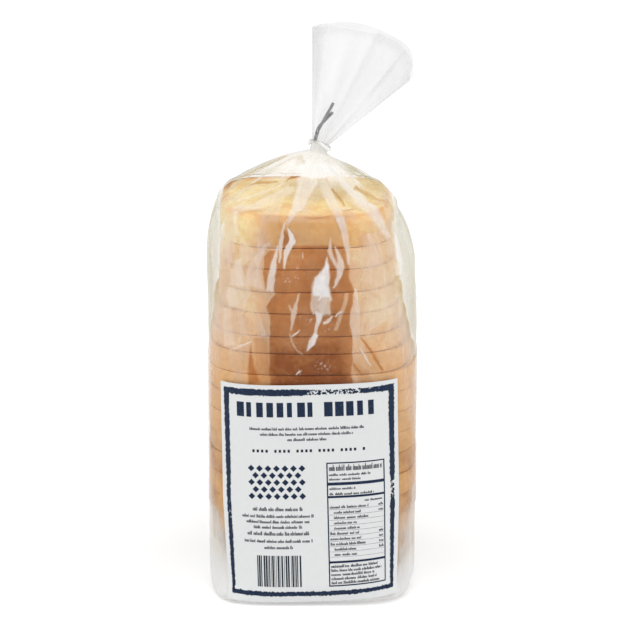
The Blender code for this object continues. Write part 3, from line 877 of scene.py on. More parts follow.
# Edges of the area where the film clings to the crown, as (up, x) down its left and its right
# side, and as (x, up) along its top
CLING_LEFT = ((208, -22), (200, -30), (181, -29), (178, -23), (170, -28), (165, -26))
CLING_RIGHT = ((207, 20), (192, 22), (180, 25), (165, 23), (150, 24))
CLING_TOP = ((-20, 204), (-18, 216), (-16, 216), (-11, 207))
# The loaf's edges as they show from the front, by height: (z, distance from the middle)
LOAF_LEFT = ((0.150, 0.0655), (0.170, 0.0615), (0.200, 0.0565))
LOAF_RIGHT = ((0.145, 0.0640), (0.165, 0.0590), (0.180, 0.0555), (0.210, 0.0500))


def mark_shape(x, up, mark):
    """1 within a mark, a fold or a painted highlight, and 0 outside it."""
    start, middle, end, widths, _ = mark
    chord = (end[0] - start[0], end[1] - start[1])
    length = math.hypot(*chord)

    def from_start(px, py):
        """How far a place is along the chord, as a share of it, and how far beside it."""
        ahead, across = px - start[0], py - start[1]
        along = (ahead * chord[0] + across * chord[1]) / length**2
        return along, (ahead * chord[1] - across * chord[0]) / length

    along, side = from_start(x, up)
    _, bow = from_start(*middle)
    share = np.clip(along, 0.0, 1.0)
    off = np.abs(side - 4.0 * bow * share * (1.0 - share)) - np.interp(share, (0.0, 0.5, 1.0), widths)
    past = np.abs(along - share) * length
    soft = 0.22 + 0.20 * max(widths)
    return smoothstep(soft, -soft, off) * smoothstep(2.0 * soft, 0.0, past)


def cling_area(x, up):
    """1 where the film clings to the crown's middle, with ragged edges, and 0 outside it."""
    left, right = read_off(CLING_LEFT[::-1], up), read_off(CLING_RIGHT[::-1], up)
    ragged_left, ragged_right = (
        reach * swell(up, up * 0, pitch, seed)
        for reach, pitch, seed in zip((0.9, 0.8), (6.0, 7.0), CLING_EDGE_SEEDS)
    )
    return (
        smoothstep(-0.5, 0.5, x - left - ragged_left)
        * smoothstep(-0.5, 0.5, right - x + ragged_right)
        * smoothstep(-0.5, 0.5, read_off(CLING_TOP, x) - up)
    )


def pleat_folds(angles, seed):
    """0 on the crest of a pleat and 1 in the valleys, at each angle round the neck."""
    draw = np.random.default_rng(seed)
    crests = [math.radians(bearing) for bearing in FRONT_PLEATS]
    crests += [math.radians(14.0 * number + draw.uniform(-4, 4)) for number in range(1, 13)]
    crests = np.sort(np.mod(np.array(crests), 2 * math.pi))
    around = np.concatenate((crests - 2 * math.pi, crests, crests + 2 * math.pi))
    turned = np.mod(angles, 2 * math.pi)
    place = np.searchsorted(around, turned)
    before, after = around[place - 1], around[place]
    share = (turned - before) / (after - before)
    return 1.0 - np.abs(2.0 * share - 1.0)


def blur_up(field, rows, reach):
    """The field averaged over this height either way."""
    total = np.concatenate((np.zeros_like(field[:1]), np.cumsum(field, axis=0)))
    low, high = np.searchsorted(rows, rows - reach), np.searchsorted(rows, rows + reach)
    return (total[high] - total[low]) / (high - low)[:, None]


def film_room(points, rows, plans):
    """How far in from the smooth bag the film may lie before it would touch a slice."""
    plenty, least, margin, rows_beside = 0.02, 0.0003, 0.0007, 5
    bearing = np.arctan2(points[..., 1], points[..., 0])
    reach = np.hypot(points[..., 0], points[..., 1])
    room = np.full(reach.shape, plenty)
    around = slice_angles()
    for low, high, half_width, centre, front, back, _, _ in plans:
        x, y = loaf_oval(around, half_width, front, back)
        x = x + centre
        loaf = np.interp(bearing, np.arctan2(y, x), np.hypot(x, y), period=2 * math.pi)
        here = (rows >= low) & (rows < high)
        room[here] = (reach - loaf)[here]
    over_top = np.maximum(FILM_CLEARANCE, 0.9 * (rows - LOAF_HEIGHT) + 0.001)
    over_top = over_top + np.where(rows < LOAF_HEIGHT - 0.004, plenty, 0.0)
    room = np.minimum(room, over_top[:, None])
    lowest = room.copy()
    for shift in range(-rows_beside, rows_beside + 1):
        lowest = np.minimum(lowest, np.roll(room, shift, axis=0))
    return np.maximum(lowest - margin, least)


def film_inset(angle, z, radius, front, cling, broad, fine):
    """How far the film lies inside the smooth bag, by its creases and by its pleats, which grow
    from the shoulder to the neck."""
    free = smoothstep(0.195, 0.245, z)
    open_out = np.clip(radius / 0.050, 0.0, 1.0)
    depth = BROAD_INSET + FREE_INSET * free + REAR_INSET * (1 - front)
    inward = LEAST_INSET + depth * broad * open_out
    inward += FINE_INSET * fine * open_out**2
    inward = inward * (1.0 - 0.25 * cling)
    ramp = smoothstep(0.205, 0.262, z)
    inward += np.minimum(PLEAT_INSET * ramp, 0.15 * radius) * pleat_folds(angle, PLEAT_SEED)
    inward *= smoothstep(NECK_Z + 0.001, NECK_Z - 0.012, z)
    return inward + NECK_INSET * smoothstep(NECK_Z - 0.012, NECK_Z, z)


def hanging_haze(across, up, z, front, cling, broad_patch, fine_patch):
    """How milky the film looks above the label, where it fogs more the further up it hangs free."""
    haze = read_off(HAZE_BESIDE, z) + read_off(HAZE_UNEVEN, z) * (broad_patch - 0.5)
    haze = haze + 0.05 * (fine_patch - 0.5)
    haze *= (1.0 - cling) * (0.45 + 0.55 * front)
    heel_front = smoothstep(34.0, 24.0, np.abs(across - 1.0)) * smoothstep(205.0, 208.0, up)
    haze *= 1.0 - 0.7 * heel_front * smoothstep(224.0, 219.0, up)
    haze += 0.012 * fine_patch
    fog_start = read_off(FOG_START, across)
    haze += FOG_HAZE * smoothstep(fog_start, fog_start + 0.011, z)
    veil_start = read_off(VEIL_START, across)
    return np.maximum(haze, VEIL_HAZE * front * smoothstep(veil_start, veil_start + 12.0, up))


def standing_off(rows, z, room, low):
    """How far the film stands off the narrow slices at the loaf's top and base, from 0 to 1."""
    stands_off = blur_up(smoothstep(0.0025, 0.0085, room), rows, 0.008)
    stands_off *= smoothstep(LOAF_HEIGHT, LOAF_HEIGHT - 0.010, z)
    return np.maximum(stands_off, 0.40 * low)


def film_fields(columns, rows, lengths, angles, points, room):
    """Over the film's grid: how far it lies inside the smooth bag, how milky it looks, with painted
    highlights and glints laid in as white haze, how closely it clings to the bread and how grey it
    looks where only film is seen, partly its own tint and partly painted shade."""
    s, z = np.meshgrid(columns, rows)
    angle = np.broadcast_to(angles, s.shape)
    x, y = points[..., 0], points[..., 1]
    front = smoothstep(0.15, 0.55, -np.sin(angle))
    across = x / MM + MARK_WANDER * swell(s, z, 0.0030, FILM_SHIFT_SEEDS[0])
    up = (points[..., 2] * math.cos(SHEET_LEAN) + y * math.sin(SHEET_LEAN)) / MM
    up = up + MARK_WANDER * swell(s, z, 0.0034, FILM_SHIFT_SEEDS[1])
    broad, broad_patch = facet_field(columns, lengths, *BROAD_CREASES, CREASE_SEEDS[0])
    fine, fine_patch = facet_field(columns, lengths, *FINE_CREASES, CREASE_SEEDS[1])
    cling = cling_area(across, up) * front * (0.84 + 0.16 * fine_patch)
    radius = np.hypot(x - x.mean(1, keepdims=True), y)
    inward = film_inset(angle, z, radius, front, cling, broad, fine)

    # The film is whitest low down, and under the bag.
    haze = hanging_haze(across, up, z, front, cling, broad_patch, fine_patch)
    low, under = smoothstep(0.075, 0.045, z), smoothstep(0.013, 0.006, z)
    stands_off = standing_off(rows, z, room, low)
    loose = stands_off * (LOOSE_HAZE[0] + LOOSE_HAZE[1] * low)
    haze = np.maximum(haze, np.maximum(loose, BASE_HAZE * under) * (0.85 + 0.30 * broad_patch))

    # Beyond the loaf's edges and above its top only film is seen, and it is grey: partly the film's own
    # tint, partly painted shade where it turns away from the light. It is painted greyer low down as
    # well, where it stands off the base.
    loaf_edge = np.where(x < 0.0, read_off(LOAF_LEFT, z), read_off(LOAF_RIGHT, z))
    beyond = smoothstep(loaf_edge - 0.001, loaf_edge + 0.003, np.abs(x))
    above = np.where(y < 0.0, smoothstep(250.0, 255.0, up), smoothstep(0.2440, 0.2480, z))
    haze = np.maximum(haze, BEYOND_HAZE * beyond * (z < LOAF_HEIGHT))
    grey = np.maximum(beyond, above * smoothstep(0.012, 0.030, np.abs(x)))
    grey_low = 0.45 * low * stands_off * smoothstep(0.012, 0.035, z)
    grey = np.maximum(grey * (1.0 - 0.7 * np.maximum(low, under)), grey_low)
    # The rear film bends over the loaf's top edge, and is clearer there.
    bend = smoothstep(0.240, 0.246, z) * smoothstep(0.257, 0.250, z) * (y > 0.0)
    haze *= 1.0 - 0.25 * bend

    # Painted glints: specks of white haze scattered round the glint places, for light caught on small
    # wrinkles.
    for spot_x, spot_up, reach in GLINTS:
        near = smoothstep(reach, 0.5 * reach, np.hypot(across - spot_x, up - spot_up)) * front
        haze += GLINT_HAZE * near * smoothstep(0.50, 0.72, swell(s, z, 0.0010, GLINT_SEED))
    # The white folds, and the painted highlights and glints among them, whiten the haze and push the
    # film out.
    for mark in WHITE_FOLDS_AND_HIGHLIGHTS:
        shape = mark_shape(across, up, mark) * front
        haze = haze * (1.0 - shape) + mark[-1] * shape * (0.90 + 0.20 * fine_patch)
        cling = cling * (1.0 - shape)
        grey = grey * (1.0 - shape)
        inward -= FOLD_OUTSET * shape
    for mark in CLINGING_FOLDS:
        shape = mark_shape(across, up, mark) * front * mark[-1]
        haze = haze * (1.0 - shape)
        cling = np.maximum(cling, shape)
    return np.clip(inward, 0.0, room), np.clip(haze, 0.0, MOST_HAZE), cling, grey


def make_film(film, plans):
    """The bag round the loaf: thin film, crumpled, pleated at the neck and closed below."""
    columns, rows, lengths = film_grid()
    angles = np.interp(columns, RING_LENGTHS, RING_ANGLES)
    angle_grid, z_grid = np.meshgrid(angles, rows)
    smooth = bag_point(angle_grid, z_grid)
    room = film_room(smooth, rows, plans)
    inward, haze, cling, grey = film_fields(columns, rows, lengths, angles, smooth, room)
    outward = bag_outward(angle_grid, z_grid)
    outward[0] = outward[1]
    points = smooth - outward * inward[..., None]
    points[..., 2] = np.maximum(points[..., 2], 0.0)
    neck = neck_point(angles, NECK_LENGTH, -0.0009)
    points = np.concatenate((points, neck[None]))
    haze, cling, grey = (np.concatenate((field, field[-1:])) for field in (haze, cling, grey))
    count = len(columns)
    quads = [grid_faces(len(points), count)]
    layers = [points.reshape(-1, 3)]
    # The base: rings that close to its middle.
    ring, centre = points[0], points[0].mean(0)
    before, start = np.arange(count), points.shape[0] * count
    for share in BASE_RINGS:
        level = centre + (ring - centre) * share
        ripple = np.abs(swell(level[:, 0], level[:, 1], 0.009, BASE_FILM_SEED))
        level[:, 2] = 0.0004 * (1.0 - share) + 0.0003 * ripple
        here = start + np.arange(count)
        quads.append(np.stack((here, np.roll(here, -1), np.roll(before, -1), before), -1))
        layers.append(level)
        before, start = here, start + count
    layers.append(centre[None] + np.array((0.0, 0.0, 0.0006)))
    fields = {}
    for name, field, below in (("haze", haze, 0.35), ("cling", cling, 0.0), ("grey", grey, 0.5)):
        fields[name] = np.concatenate((field.ravel(), np.full(len(BASE_RINGS) * count + 1, below)))
    faces = (np.concatenate(quads), fan_faces(before[::-1], start))
    piece = mesh_piece("film_body", np.concatenate(layers), faces, [film], "bag", **fields)
    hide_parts("bag")


def mouth_point(angle, bearing_shift, depth):
    """Points of the gathered end's rim, which is highest at its peak and falls to both sides."""
    past_peak = np.cos(angle) - FAN_PEAK
    fall = np.where(
        past_peak > 0.0,
        FAN_FALL_RIGHT * (np.maximum(past_peak, 0) / (1.0 - FAN_PEAK)) ** FAN_FALL_RIGHT_POWER,
        FAN_FALL_LEFT * (np.maximum(-past_peak, 0) / (1.0 + FAN_PEAK)) ** FAN_FALL_LEFT_POWER,
    )
    bearing = FAN_TILT + FAN_HALF_ANGLE * np.cos(angle) + bearing_shift
    reach = FAN_REACH - fall
    x = FAN_APEX[0] + reach * np.sin(bearing)
    z = FAN_APEX[2] + reach * np.cos(bearing)
    return np.stack((x, FAN_HALF_DEPTH * np.sin(angle) * depth, z), -1)


def make_fan(film):
    """The bag's loose end above the tie: broad pleats that open to a round rim."""
    count, levels = FAN_COLUMNS, FAN_LEVELS
    ripple_seed, cloud_seed = FAN_SEEDS
    angles = FRONT + 2.0 * math.pi * np.arange(count) / count
    ends = np.abs(np.sin(angles)) ** 0.7
    beat = FAN_PLEATS * angles + 1.3 * np.sin(2.0 * angles + 0.6) + 0.8 * np.sin(5.0 * angles)
    shift = FAN_SWAY * ends * np.sin(beat)
    depth = FAN_OPEN - FAN_PLEAT_DEPTH * np.cos(beat + 0.9) - 0.10 * np.cos(5.0 * angles)
    mouth = mouth_point(angles, shift, depth)
    points, haze = [], []
    for level in range(levels + 1):
        share = level / levels
        base = neck_point(angles, NECK_LENGTH, -0.0008 - 0.0006 * (0.5 + 0.5 * np.cos(beat)))
        ring = base + (mouth - base) * share
        ripple = swell(angles * 0.05, share * 0.06, 0.022, ripple_seed)
        ring[:, 1] += FAN_RIPPLE * ripple * share * ends
        points.append(ring)
        left_edge = smoothstep(0.70, 1.0, -np.cos(angles)) * smoothstep(0.15, 0.8, share)
        right_edge = smoothstep(0.30, 0.80, np.cos(angles)) * smoothstep(0.40, 0.8, share)
        cloud = swell(np.cos(angles) * 2.0, share * 0.9, 0.40, cloud_seed)
        # Painted shade: a soft diagonal band of greyer haze where a fold shades the gathered end.
        fold_shade_band = smoothstep(0.10, 0.0, np.abs(np.cos(angles) - 0.62 + 0.25 * (share - 0.7)))
        fold_shade_band *= smoothstep(0.40, 0.62, share) * smoothstep(0.95, 0.75, share)
        behind = smoothstep(0.0, 0.3, np.sin(angles)) * smoothstep(0.86, 0.95, share)
        haze.append(
            FAN_HAZE + FAN_HAZE_NECK * (1.0 - share) ** 5 + FAN_HAZE_LEFT * left_edge
            + FAN_HAZE_RIGHT * right_edge + FAN_HAZE_CLOUD * cloud
            + FAN_FOLD_SHADE * fold_shade_band + FAN_HAZE_BEHIND * behind
        )
    haze = np.clip(np.array(haze), 0.01, 0.9)
    # The gathered end is painted greyer where it is less hazy: painted shade in its soft folds, with the
    # film's own tint.
    mesh_piece("film_fan", points, (grid_faces(levels + 1, count),), [film], "bag",
               haze=haze, grey=np.clip(1.6 - 2.0 * haze, 0.0, 1.0))


def film_material(settings, name, grey_haze):
    """Polyethylene film, blown and thin: clear where it touches the bread, milky where it
    stands off in folds, and glossy, with fine crinkles that break up its reflections."""
    material, tree, where = new_material(name)
    # The haze also carries painted highlights and glints on the body's film: reflections of the lamps
    # laid in as white haze.
    haze = add_node(tree, "Attribute", attribute_name="haze").outputs["Fac"]
    streak = add_node(tree, "Mapping", {"Vector": where, "Scale": (1.0, 1.0, 0.35)})
    crinkle = add_node(tree, "TexNoise", {
        "Vector": streak.outputs[0], "Scale": 1 / (2.4 * MM), "Detail": 3.0, "Roughness": 0.55})
    uneven = add_node(tree, "MapRange", {0: crinkle.outputs["Fac"], 1: 0.3, 2: 0.7, 3: 0.92, 4: 1.08})
    fog = add_node(tree, "Math", {0: haze, 1: uneven.outputs[0]}, operation="MULTIPLY", use_clamp=True)
    bump = add_node(tree, "Bump", {
        "Height": crinkle.outputs["Fac"], "Distance": 0.22 * MM, "Strength": settings.crinkle})
    # Seen at a slant, film is crossed over a longer path and is milkier, as tinted glass is darker.
    facing = add_node(tree, "LayerWeight", {"Normal": bump.outputs[0]}).outputs["Facing"]
    upright = add_node(tree, "Math", {0: 1.06, 1: facing}, operation="SUBTRACT")
    path = add_node(tree, "Math", {0: 1.0, 1: upright.outputs[0]}, operation="DIVIDE")
    left = add_node(tree, "Math", {0: 1.0, 1: fog.outputs[0]}, operation="SUBTRACT")
    passed = add_node(tree, "Math", {0: left.outputs[0], 1: path.outputs[0]}, operation="POWER")
    milky = add_node(tree, "Math", {0: 1.0, 1: passed.outputs[0]}, operation="SUBTRACT")
    # Bread that film clings to looks darker and warmer, as wet things do.
    cling = add_node(tree, "Attribute", attribute_name="cling").outputs["Fac"]
    seen = add_node(tree, "Mix", {
        0: cling, 6: to_linear(settings.free_tint), 7: to_linear(settings.cling_tint)}, data_type="RGBA")
    clear = add_node(tree, "BsdfTransparent", {"Color": seen.outputs[2]})
    tint = add_node(tree, "ValToRGB", {0: haze})
    tint.color_ramp.elements[0].color = to_linear(settings.haze_tint)
    tint.color_ramp.elements[1].color = to_linear(settings.thick_haze)
    tint.color_ramp.elements[1].position = 0.7
    # Film alone, doubled at the sides and in the gathered end, looks greyer: partly its own tint, and
    # partly painted shade where it turns away from the light.
    grey = add_node(tree, "Attribute", attribute_name="grey").outputs["Fac"]
    tone = add_node(tree, "Mix", {0: grey, 6: tint.outputs["Color"], 7: to_linear(grey_haze)},
                    data_type="RGBA")
    white = add_node(tree, "BsdfDiffuse", {"Color": tone.outputs[2], "Normal": bump.outputs[0]})
    through = add_node(tree, "BsdfTranslucent", {"Color": tone.outputs[2]})
    scatter = add_node(tree, "MixShader", {0: 0.25, 1: white.outputs[0], 2: through.outputs[0]})
    body = add_node(tree, "MixShader", {0: milky.outputs[0], 1: clear.outputs[0], 2: scatter.outputs[0]})
    gloss = add_node(tree, "BsdfGlossy", {
        "Color": (1.0, 1.0, 1.0, 1.0), "Roughness": settings.roughness, "Normal": bump.outputs[0]})
    # Thin film mirrors alike from both sides, so its share grows from the facing weight.
    steep = add_node(tree, "Math", {0: facing, 1: 5.0}, operation="POWER")
    share = add_node(tree, "MapRange", {0: steep.outputs[0], 3: settings.gloss, 4: settings.rim_gloss})
    surface = add_node(tree, "MixShader", {0: share.outputs[0], 1: body.outputs[0], 2: gloss.outputs[0]})
    return surfaced(material, surface)


# ---------------------------------------------------------------- label


def label_table():
    """For rows of heights, the angle at each distance along the bag's front."""
    heights = np.linspace(0.0, 0.150, 61)
    distances = np.linspace(-0.085, 0.085, 341)
    angles = np.linspace(-math.pi, 0.0, 721)
    table = []
    for height in heights:
        points = bag_point(angles, height)
        lengths = np.concatenate(([0.0], np.cumsum(np.linalg.norm(np.diff(points, axis=0), axis=1))))
        table.append(np.interp(distances, lengths - np.interp(FRONT, angles, lengths), angles))
    return heights, distances, np.array(table)


LABEL_HEIGHTS, LABEL_DISTANCES, LABEL_ANGLES = label_table()


def label_point(across, up, outset):
    """Points of the label, from distances across from its middle and up from its lower edge."""
    across, up = np.asarray(across, float), np.asarray(up, float)
    share = up / LABEL_HEIGHT
    turn = LABEL_BASE_TURN + (LABEL_TOP_TURN - LABEL_BASE_TURN) * share
    sag = LABEL_SAG * (1.0 - (2.0 * across / LABEL_WIDTH) ** 2) * (1.0 - share) ** 2
    z = LABEL_BOTTOM_Z + up + across * np.sin(turn) - sag
    past = np.maximum(0.0, np.abs(across) - LABEL_CORNER_START)
    drawn_in = LABEL_CORNER_DRAW * past**2 * np.sign(across)
    drawn_in = drawn_in * np.maximum(0.0, 1.0 - share / LABEL_CORNER_SHARE)
    leant = LABEL_HEIGHT * (0.5 - share) * math.sin(LABEL_TOP_TURN)
    distance = LABEL_CENTRE_X + across - drawn_in + leant
    row = np.clip(z / (LABEL_HEIGHTS[1] - LABEL_HEIGHTS[0]), 0, len(LABEL_HEIGHTS) - 1.001)
    column = (distance - LABEL_DISTANCES[0]) / (LABEL_DISTANCES[1] - LABEL_DISTANCES[0])
    i, j = np.floor(row).astype(int), np.floor(column).astype(int)
    u, v = row - i, column - j
    angle = (LABEL_ANGLES[i, j] * (1 - u) + LABEL_ANGLES[i + 1, j] * u) * (1 - v)
    angle += (LABEL_ANGLES[i, j + 1] * (1 - u) + LABEL_ANGLES[i + 1, j + 1] * u) * v
    lift = outset + LABEL_WAVE[0] * (1.0 + swell(across, up, LABEL_WAVE[1], WAVE_SEED))
    return bag_point(angle, z) + bag_outward(angle, np.maximum(z, 0.001)) * lift[..., None]


def make_label(paper):
    """The label: coated paper stuck on the bag's front, a little wavy."""
    columns, rows = LABEL_GRID
    across = LABEL_WIDTH * (np.arange(columns + 1) / columns - 0.5)
    up = LABEL_HEIGHT * np.arange(rows + 1) / rows
    across, up = np.meshgrid(across, up)
    back = label_point(across, up, LABEL_GAP)
    face = label_point(across, up, LABEL_GAP + LABEL_THICKNESS)
    points = np.concatenate((face.reshape(-1, 3), back.reshape(-1, 3)))
    size = columns + 1
    half = len(points) // 2
    front_faces = grid_faces(rows + 1, size, closed=False)
    rim = list(range(size)) + [row * size + columns for row in range(1, rows + 1)]
    rim += [rows * size + column for column in range(columns - 1, -1, -1)]
    rim += [row * size for row in range(rows - 1, 0, -1)]
    rim = np.array(rim)
    sides = np.stack((rim, rim + half, np.roll(rim, -1) + half, np.roll(rim, -1)), -1)
    faces = np.concatenate((front_faces, front_faces[:, ::-1] + half, sides))
    piece = mesh_piece("label_paper", points, (faces,), [paper], "label")
    piece.data.set_sharp_from_angle(angle=math.radians(50))
    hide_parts("label")


def paper_material(settings):
    """Coated label paper: smooth, nearly white and half matt, with a faint fibre cloud."""
    material, tree, where = new_material("coated_label_paper")
    cloud = add_node(tree, "TexNoise", {"Vector": where, "Scale": 1 / (2.5 * MM), "Detail": 4.0})
    light, dark = to_linear(settings.paper), to_linear("#D6D8D8")
    tone = add_node(tree, "Mix", {0: cloud.outputs["Fac"], 6: dark, 7: light}, data_type="RGBA")
    bump = add_node(tree, "Bump", {
        "Height": cloud.outputs["Fac"], "Distance": 0.05 * MM, "Strength": 0.3})
    shader = add_node(tree, "BsdfPrincipled", {
        "Base Color": tone.outputs[2], "Roughness": 0.42, "Normal": bump.outputs[0],
        "Specular IOR Level": 0.4})
    return surfaced(material, shader)


class Print:
    """Patches of ink laid on the label. Places are millimetres from its lower left corner."""

    # Widths of the words and strokes of small type, heights of its strokes as shares of the
    # line's, and the gaps after strokes and words
    WORDS = (2.5, 8.0)
    STROKES = (0.26, 0.55)
    STROKE_HEIGHTS = (0.62, 0.62, 0.68, 1.0)
    STROKE_GAPS = (0.12, 0.22)
    WORD_GAPS = (0.5, 0.9)

    def __init__(self, seed):
        self.points = []
        self.draw = np.random.default_rng(seed)

    def block(self, left, low, right, high, piece=1.6):
        """A filled rectangle, cut into short pieces that follow the label's curve."""
        across = max(1, math.ceil((right - left) / piece))
        up = max(1, math.ceil((high - low) / (4 * piece)))
        for column in range(across):
            for row in range(up):
                x0, x1 = (left + (right - left) * (column + step) / across for step in (0, 1))
                y0, y1 = (low + (high - low) * (row + step) / up for step in (0, 1))
                self.points += ((x0, y0), (x1, y0), (x1, y1), (x0, y1))

    def lozenge(self, x, y, half):
        """A square that stands on one corner."""
        self.points += ((x, y - half), (x + half, y), (x, y + half), (x - half, y))

    def fine_line(self, left, right, y, height):
        """A line of small type, stood for by short strokes in groups."""
        x = left
        while x < right:
            word = min(right, x + self.draw.uniform(*self.WORDS))
            while x < word - 0.2:
                wide = self.draw.uniform(*self.STROKES)
                tall = height * self.draw.choice(self.STROKE_HEIGHTS)
                self.block(x, y, min(word, x + wide), y + tall)
                x += wide + self.draw.uniform(*self.STROKE_GAPS)
            x = word + self.draw.uniform(*self.WORD_GAPS)

    def centred(self, middle, y, width, height):
        """A line of small type with its middle at this place."""
        self.fine_line(middle - width / 2, middle + width / 2, y, height)

    def made(self, name, ink):
        """Makes one piece of all these patches."""
        places = np.array(self.points) * MM
        outset = LABEL_GAP + LABEL_THICKNESS + INK_LIFT
        points = label_point(places[:, 0] - LABEL_WIDTH / 2, places[:, 1], outset)
        mesh_piece(name, points, (np.arange(len(points)).reshape(-1, 4),), [ink], "label")


# Print on the label, in millimetres from its lower left corner. The frame's margin and band
# are given at the label's base and top.
FRAME_MARGIN = (3.8, 2.5)
FRAME_BAND = (3.1, 4.3)
FRAME_CELL = 0.36
# Rows of title blocks: (left, blocks, width), their height and the gaps between them
TITLE_ROWS = ((12.1, 8, 50.0), (66.0, 5, 33.6))
TITLE_LOW, TITLE_HIGH = 117.3, 126.5
TITLE_GAPS = (1.5, 2.2, 3.2)
# Lines of small type: their middle, then (height on the label, width, height of the type)
UPPER_MIDDLE = 55.0
UPPER_LINES = ((109.0, 70.0, 1.9), (105.6, 57.0, 1.9), (102.2, 24.0, 1.9))
LOWER_MIDDLE = 36.0
LOWER_LINES = ((57.9, 30.5, 2.5), (53.6, 44.0, 2.0), (50.1, 39.0, 2.0), (46.7, 30.0, 2.0),
               (42.4, 38.0, 2.5), (37.8, 42.0, 2.1), (33.8, 17.5, 2.1))
# A row of small squares with every fifth left out, and a lattice of lozenges
SQUARES, SQUARES_GROUP = 26, 5
SQUARES_LEFT, SQUARES_LOW, SQUARES_PITCH = 21.5, 95.0, 2.7
SQUARE_WIDTH, SQUARE_HEIGHT = 1.4, 1.8
LATTICE_HEIGHT, LATTICE_PITCH = 76.0, 5.2
# The bar pattern: its box and the widths of its bars and gaps
BARS_LEFT, BARS_RIGHT, BARS_LOW, BARS_HIGH = 22.6, 49.4, 9.8, 29.6
BAR_WIDTHS = (0.33, 0.33, 0.66, 0.99)
# The ruled table: its box, the thickness of its outline, how far its lines are set in from its
# left and right, and the height of its heading
TABLE_BOX = (66.5, 102.5, 9.4, 88.0)
TABLE_LINE = 0.8
TABLE_INSET = (1.5, 1.4)
HEADING_HEIGHT = 3.9
# Its thick rules as (drop from its top, thickness), and lines as (drop, share of full length)
THICK_RULES = ((14.6, 1.9), (22.6, 1.4), (64.0, 1.4))
TABLE_LINES = ((8.6, 0.8), (11.4, 0.6), (17.4, 0.5), (20.8, 0.85))
FULL_LENGTH = 32
# Its ruled rows: how many, the first one's drop, their pitch, how far most are set in, and
# which stand flush or have a short mark at their right
TABLE_ROWS, FIRST_DROP, ROW_PITCH, ROW_INDENT = 10, 29.2, 3.35, 2.4
FLUSH_ROWS = (0, 5, 6, 7)
MARKED_ROWS = (0, 1, 5, 6, 7, 8)
ROW_LENGTHS = (13.0, 24.0)
# The lines under them
FOOT_LINES, FOOT_TOP, FOOT_PITCH = 5, 11.8, 2.6
FOOT_LENGTHS = (24.0, 32.0)


def worn_frame(ink):
    """The label's frame, printed as if from a worn block: chipped edges and gaps in the solid."""
    cell, outer = FRAME_CELL, 2
    wide, tall = LABEL_WIDTH / MM, LABEL_HEIGHT / MM
    columns, rows = round(wide / cell) - 2 * outer, round(tall / cell) - 2 * outer
    x, y = np.meshgrid(*((np.arange(cells) + outer + 0.5) * cell for cells in (columns, rows)))
    margin, band = (base + (top - base) * y / tall for base, top in (FRAME_MARGIN, FRAME_BAND))
    inset = np.minimum(np.minimum(x, wide - x), np.minimum(y, tall - y)) - margin
    depth = np.minimum(inset, band - inset)
    chip_seed, fine_chip_seed, wear_seed = WORN_SEEDS
    chip = 0.55 * swell(x, y, 1.1, chip_seed) + 0.45 * swell(x, y, 0.5, fine_chip_seed)
    wear = np.maximum(0.0, swell(x, y, 16.0, wear_seed))
    keep = (depth > 0.55 * chip + 0.15 + 0.7 * wear) & (chip + 0.9 * wear < 0.90)
    for row in range(rows):
        edges = np.flatnonzero(np.diff(np.concatenate(([0], keep[row].astype(int), [0]))))
        for start, end in zip(edges[::2], edges[1::2]):
            low = (row + outer) * cell
            ink.block((start + outer) * cell, low, (end + outer) * cell, low + cell)


def print_title_and_left(ink, text):
    """Title blocks, lines, squares, lattice and bar pattern of the label's top and left half."""
    draw = text.draw
    for left, blocks, width in TITLE_ROWS:
        for number in range(blocks):
            start = left + width * number / blocks
            ink.block(start, TITLE_LOW, start + width / blocks - draw.choice(TITLE_GAPS), TITLE_HIGH)
    for y, width, height in UPPER_LINES:
        text.centred(UPPER_MIDDLE, y, width, height)
    for number in range(SQUARES):
        if (number + 1) % SQUARES_GROUP:
            x = SQUARES_LEFT + SQUARES_PITCH * number
            text.block(x, SQUARES_LOW, x + SQUARE_WIDTH, SQUARES_LOW + SQUARE_HEIGHT)
    for row in range(-2, 3):
        for number in range(-3, 4):
            x = LATTICE_PITCH * (number + 0.5 * (row % 2))
            if abs(x) < 3.2 * LATTICE_PITCH:
                y = LATTICE_HEIGHT + 0.85 * LATTICE_PITCH * row
                ink.lozenge(LOWER_MIDDLE + x, y, 0.40 * LATTICE_PITCH)
    for y, width, height in LOWER_LINES:
        text.centred(LOWER_MIDDLE, y, width, height)
    x = BARS_LEFT
    while x < BARS_RIGHT:
        wide = draw.choice(BAR_WIDTHS)
        text.block(x, BARS_LOW, x + wide, BARS_HIGH)
        x += wide + draw.choice(BAR_WIDTHS)


def print_table(ink, text):
    """The ruled table at the label's lower right."""
    left, right, low, high = TABLE_BOX
    line, draw = TABLE_LINE, text.draw
    for a, b in ((low, low + line), (high - line, high)):
        ink.block(left, a, right, b)
    for a, b in ((left, left + line), (right - line, right)):
        ink.block(a, low, b, high)
    # The heading, the thick rules, and the lines between them
    text.fine_line(left + 1.6, right - 1.8, high - 5.4, HEADING_HEIGHT)
    for drop, thick in THICK_RULES:
        ink.block(left + 0.6, high - drop, right - 0.6, high - drop + thick)
    start, end = left + TABLE_INSET[0], right - TABLE_INSET[1]
    for drop, length in TABLE_LINES:
        text.fine_line(start, start + FULL_LENGTH * length, high - drop, 1.6)
    text.fine_line(right - 13.0, end, high - 25.6, 1.6)
    for row in range(TABLE_ROWS):
        y = high - FIRST_DROP - ROW_PITCH * row
        indent = 0.0 if row in FLUSH_ROWS else ROW_INDENT
        text.fine_line(start + indent, start + draw.uniform(*ROW_LENGTHS), y, 1.8)
        if row in MARKED_ROWS:
            text.fine_line(right - 4.4, end, y, 1.8)
        ink.block(left + 1.2, y - 0.75, right - 1.2, y - 0.62)
    for row in range(FOOT_LINES):
        y = low + FOOT_TOP - FOOT_PITCH * row
        text.fine_line(start, start + draw.uniform(*FOOT_LENGTHS), y, 1.9)


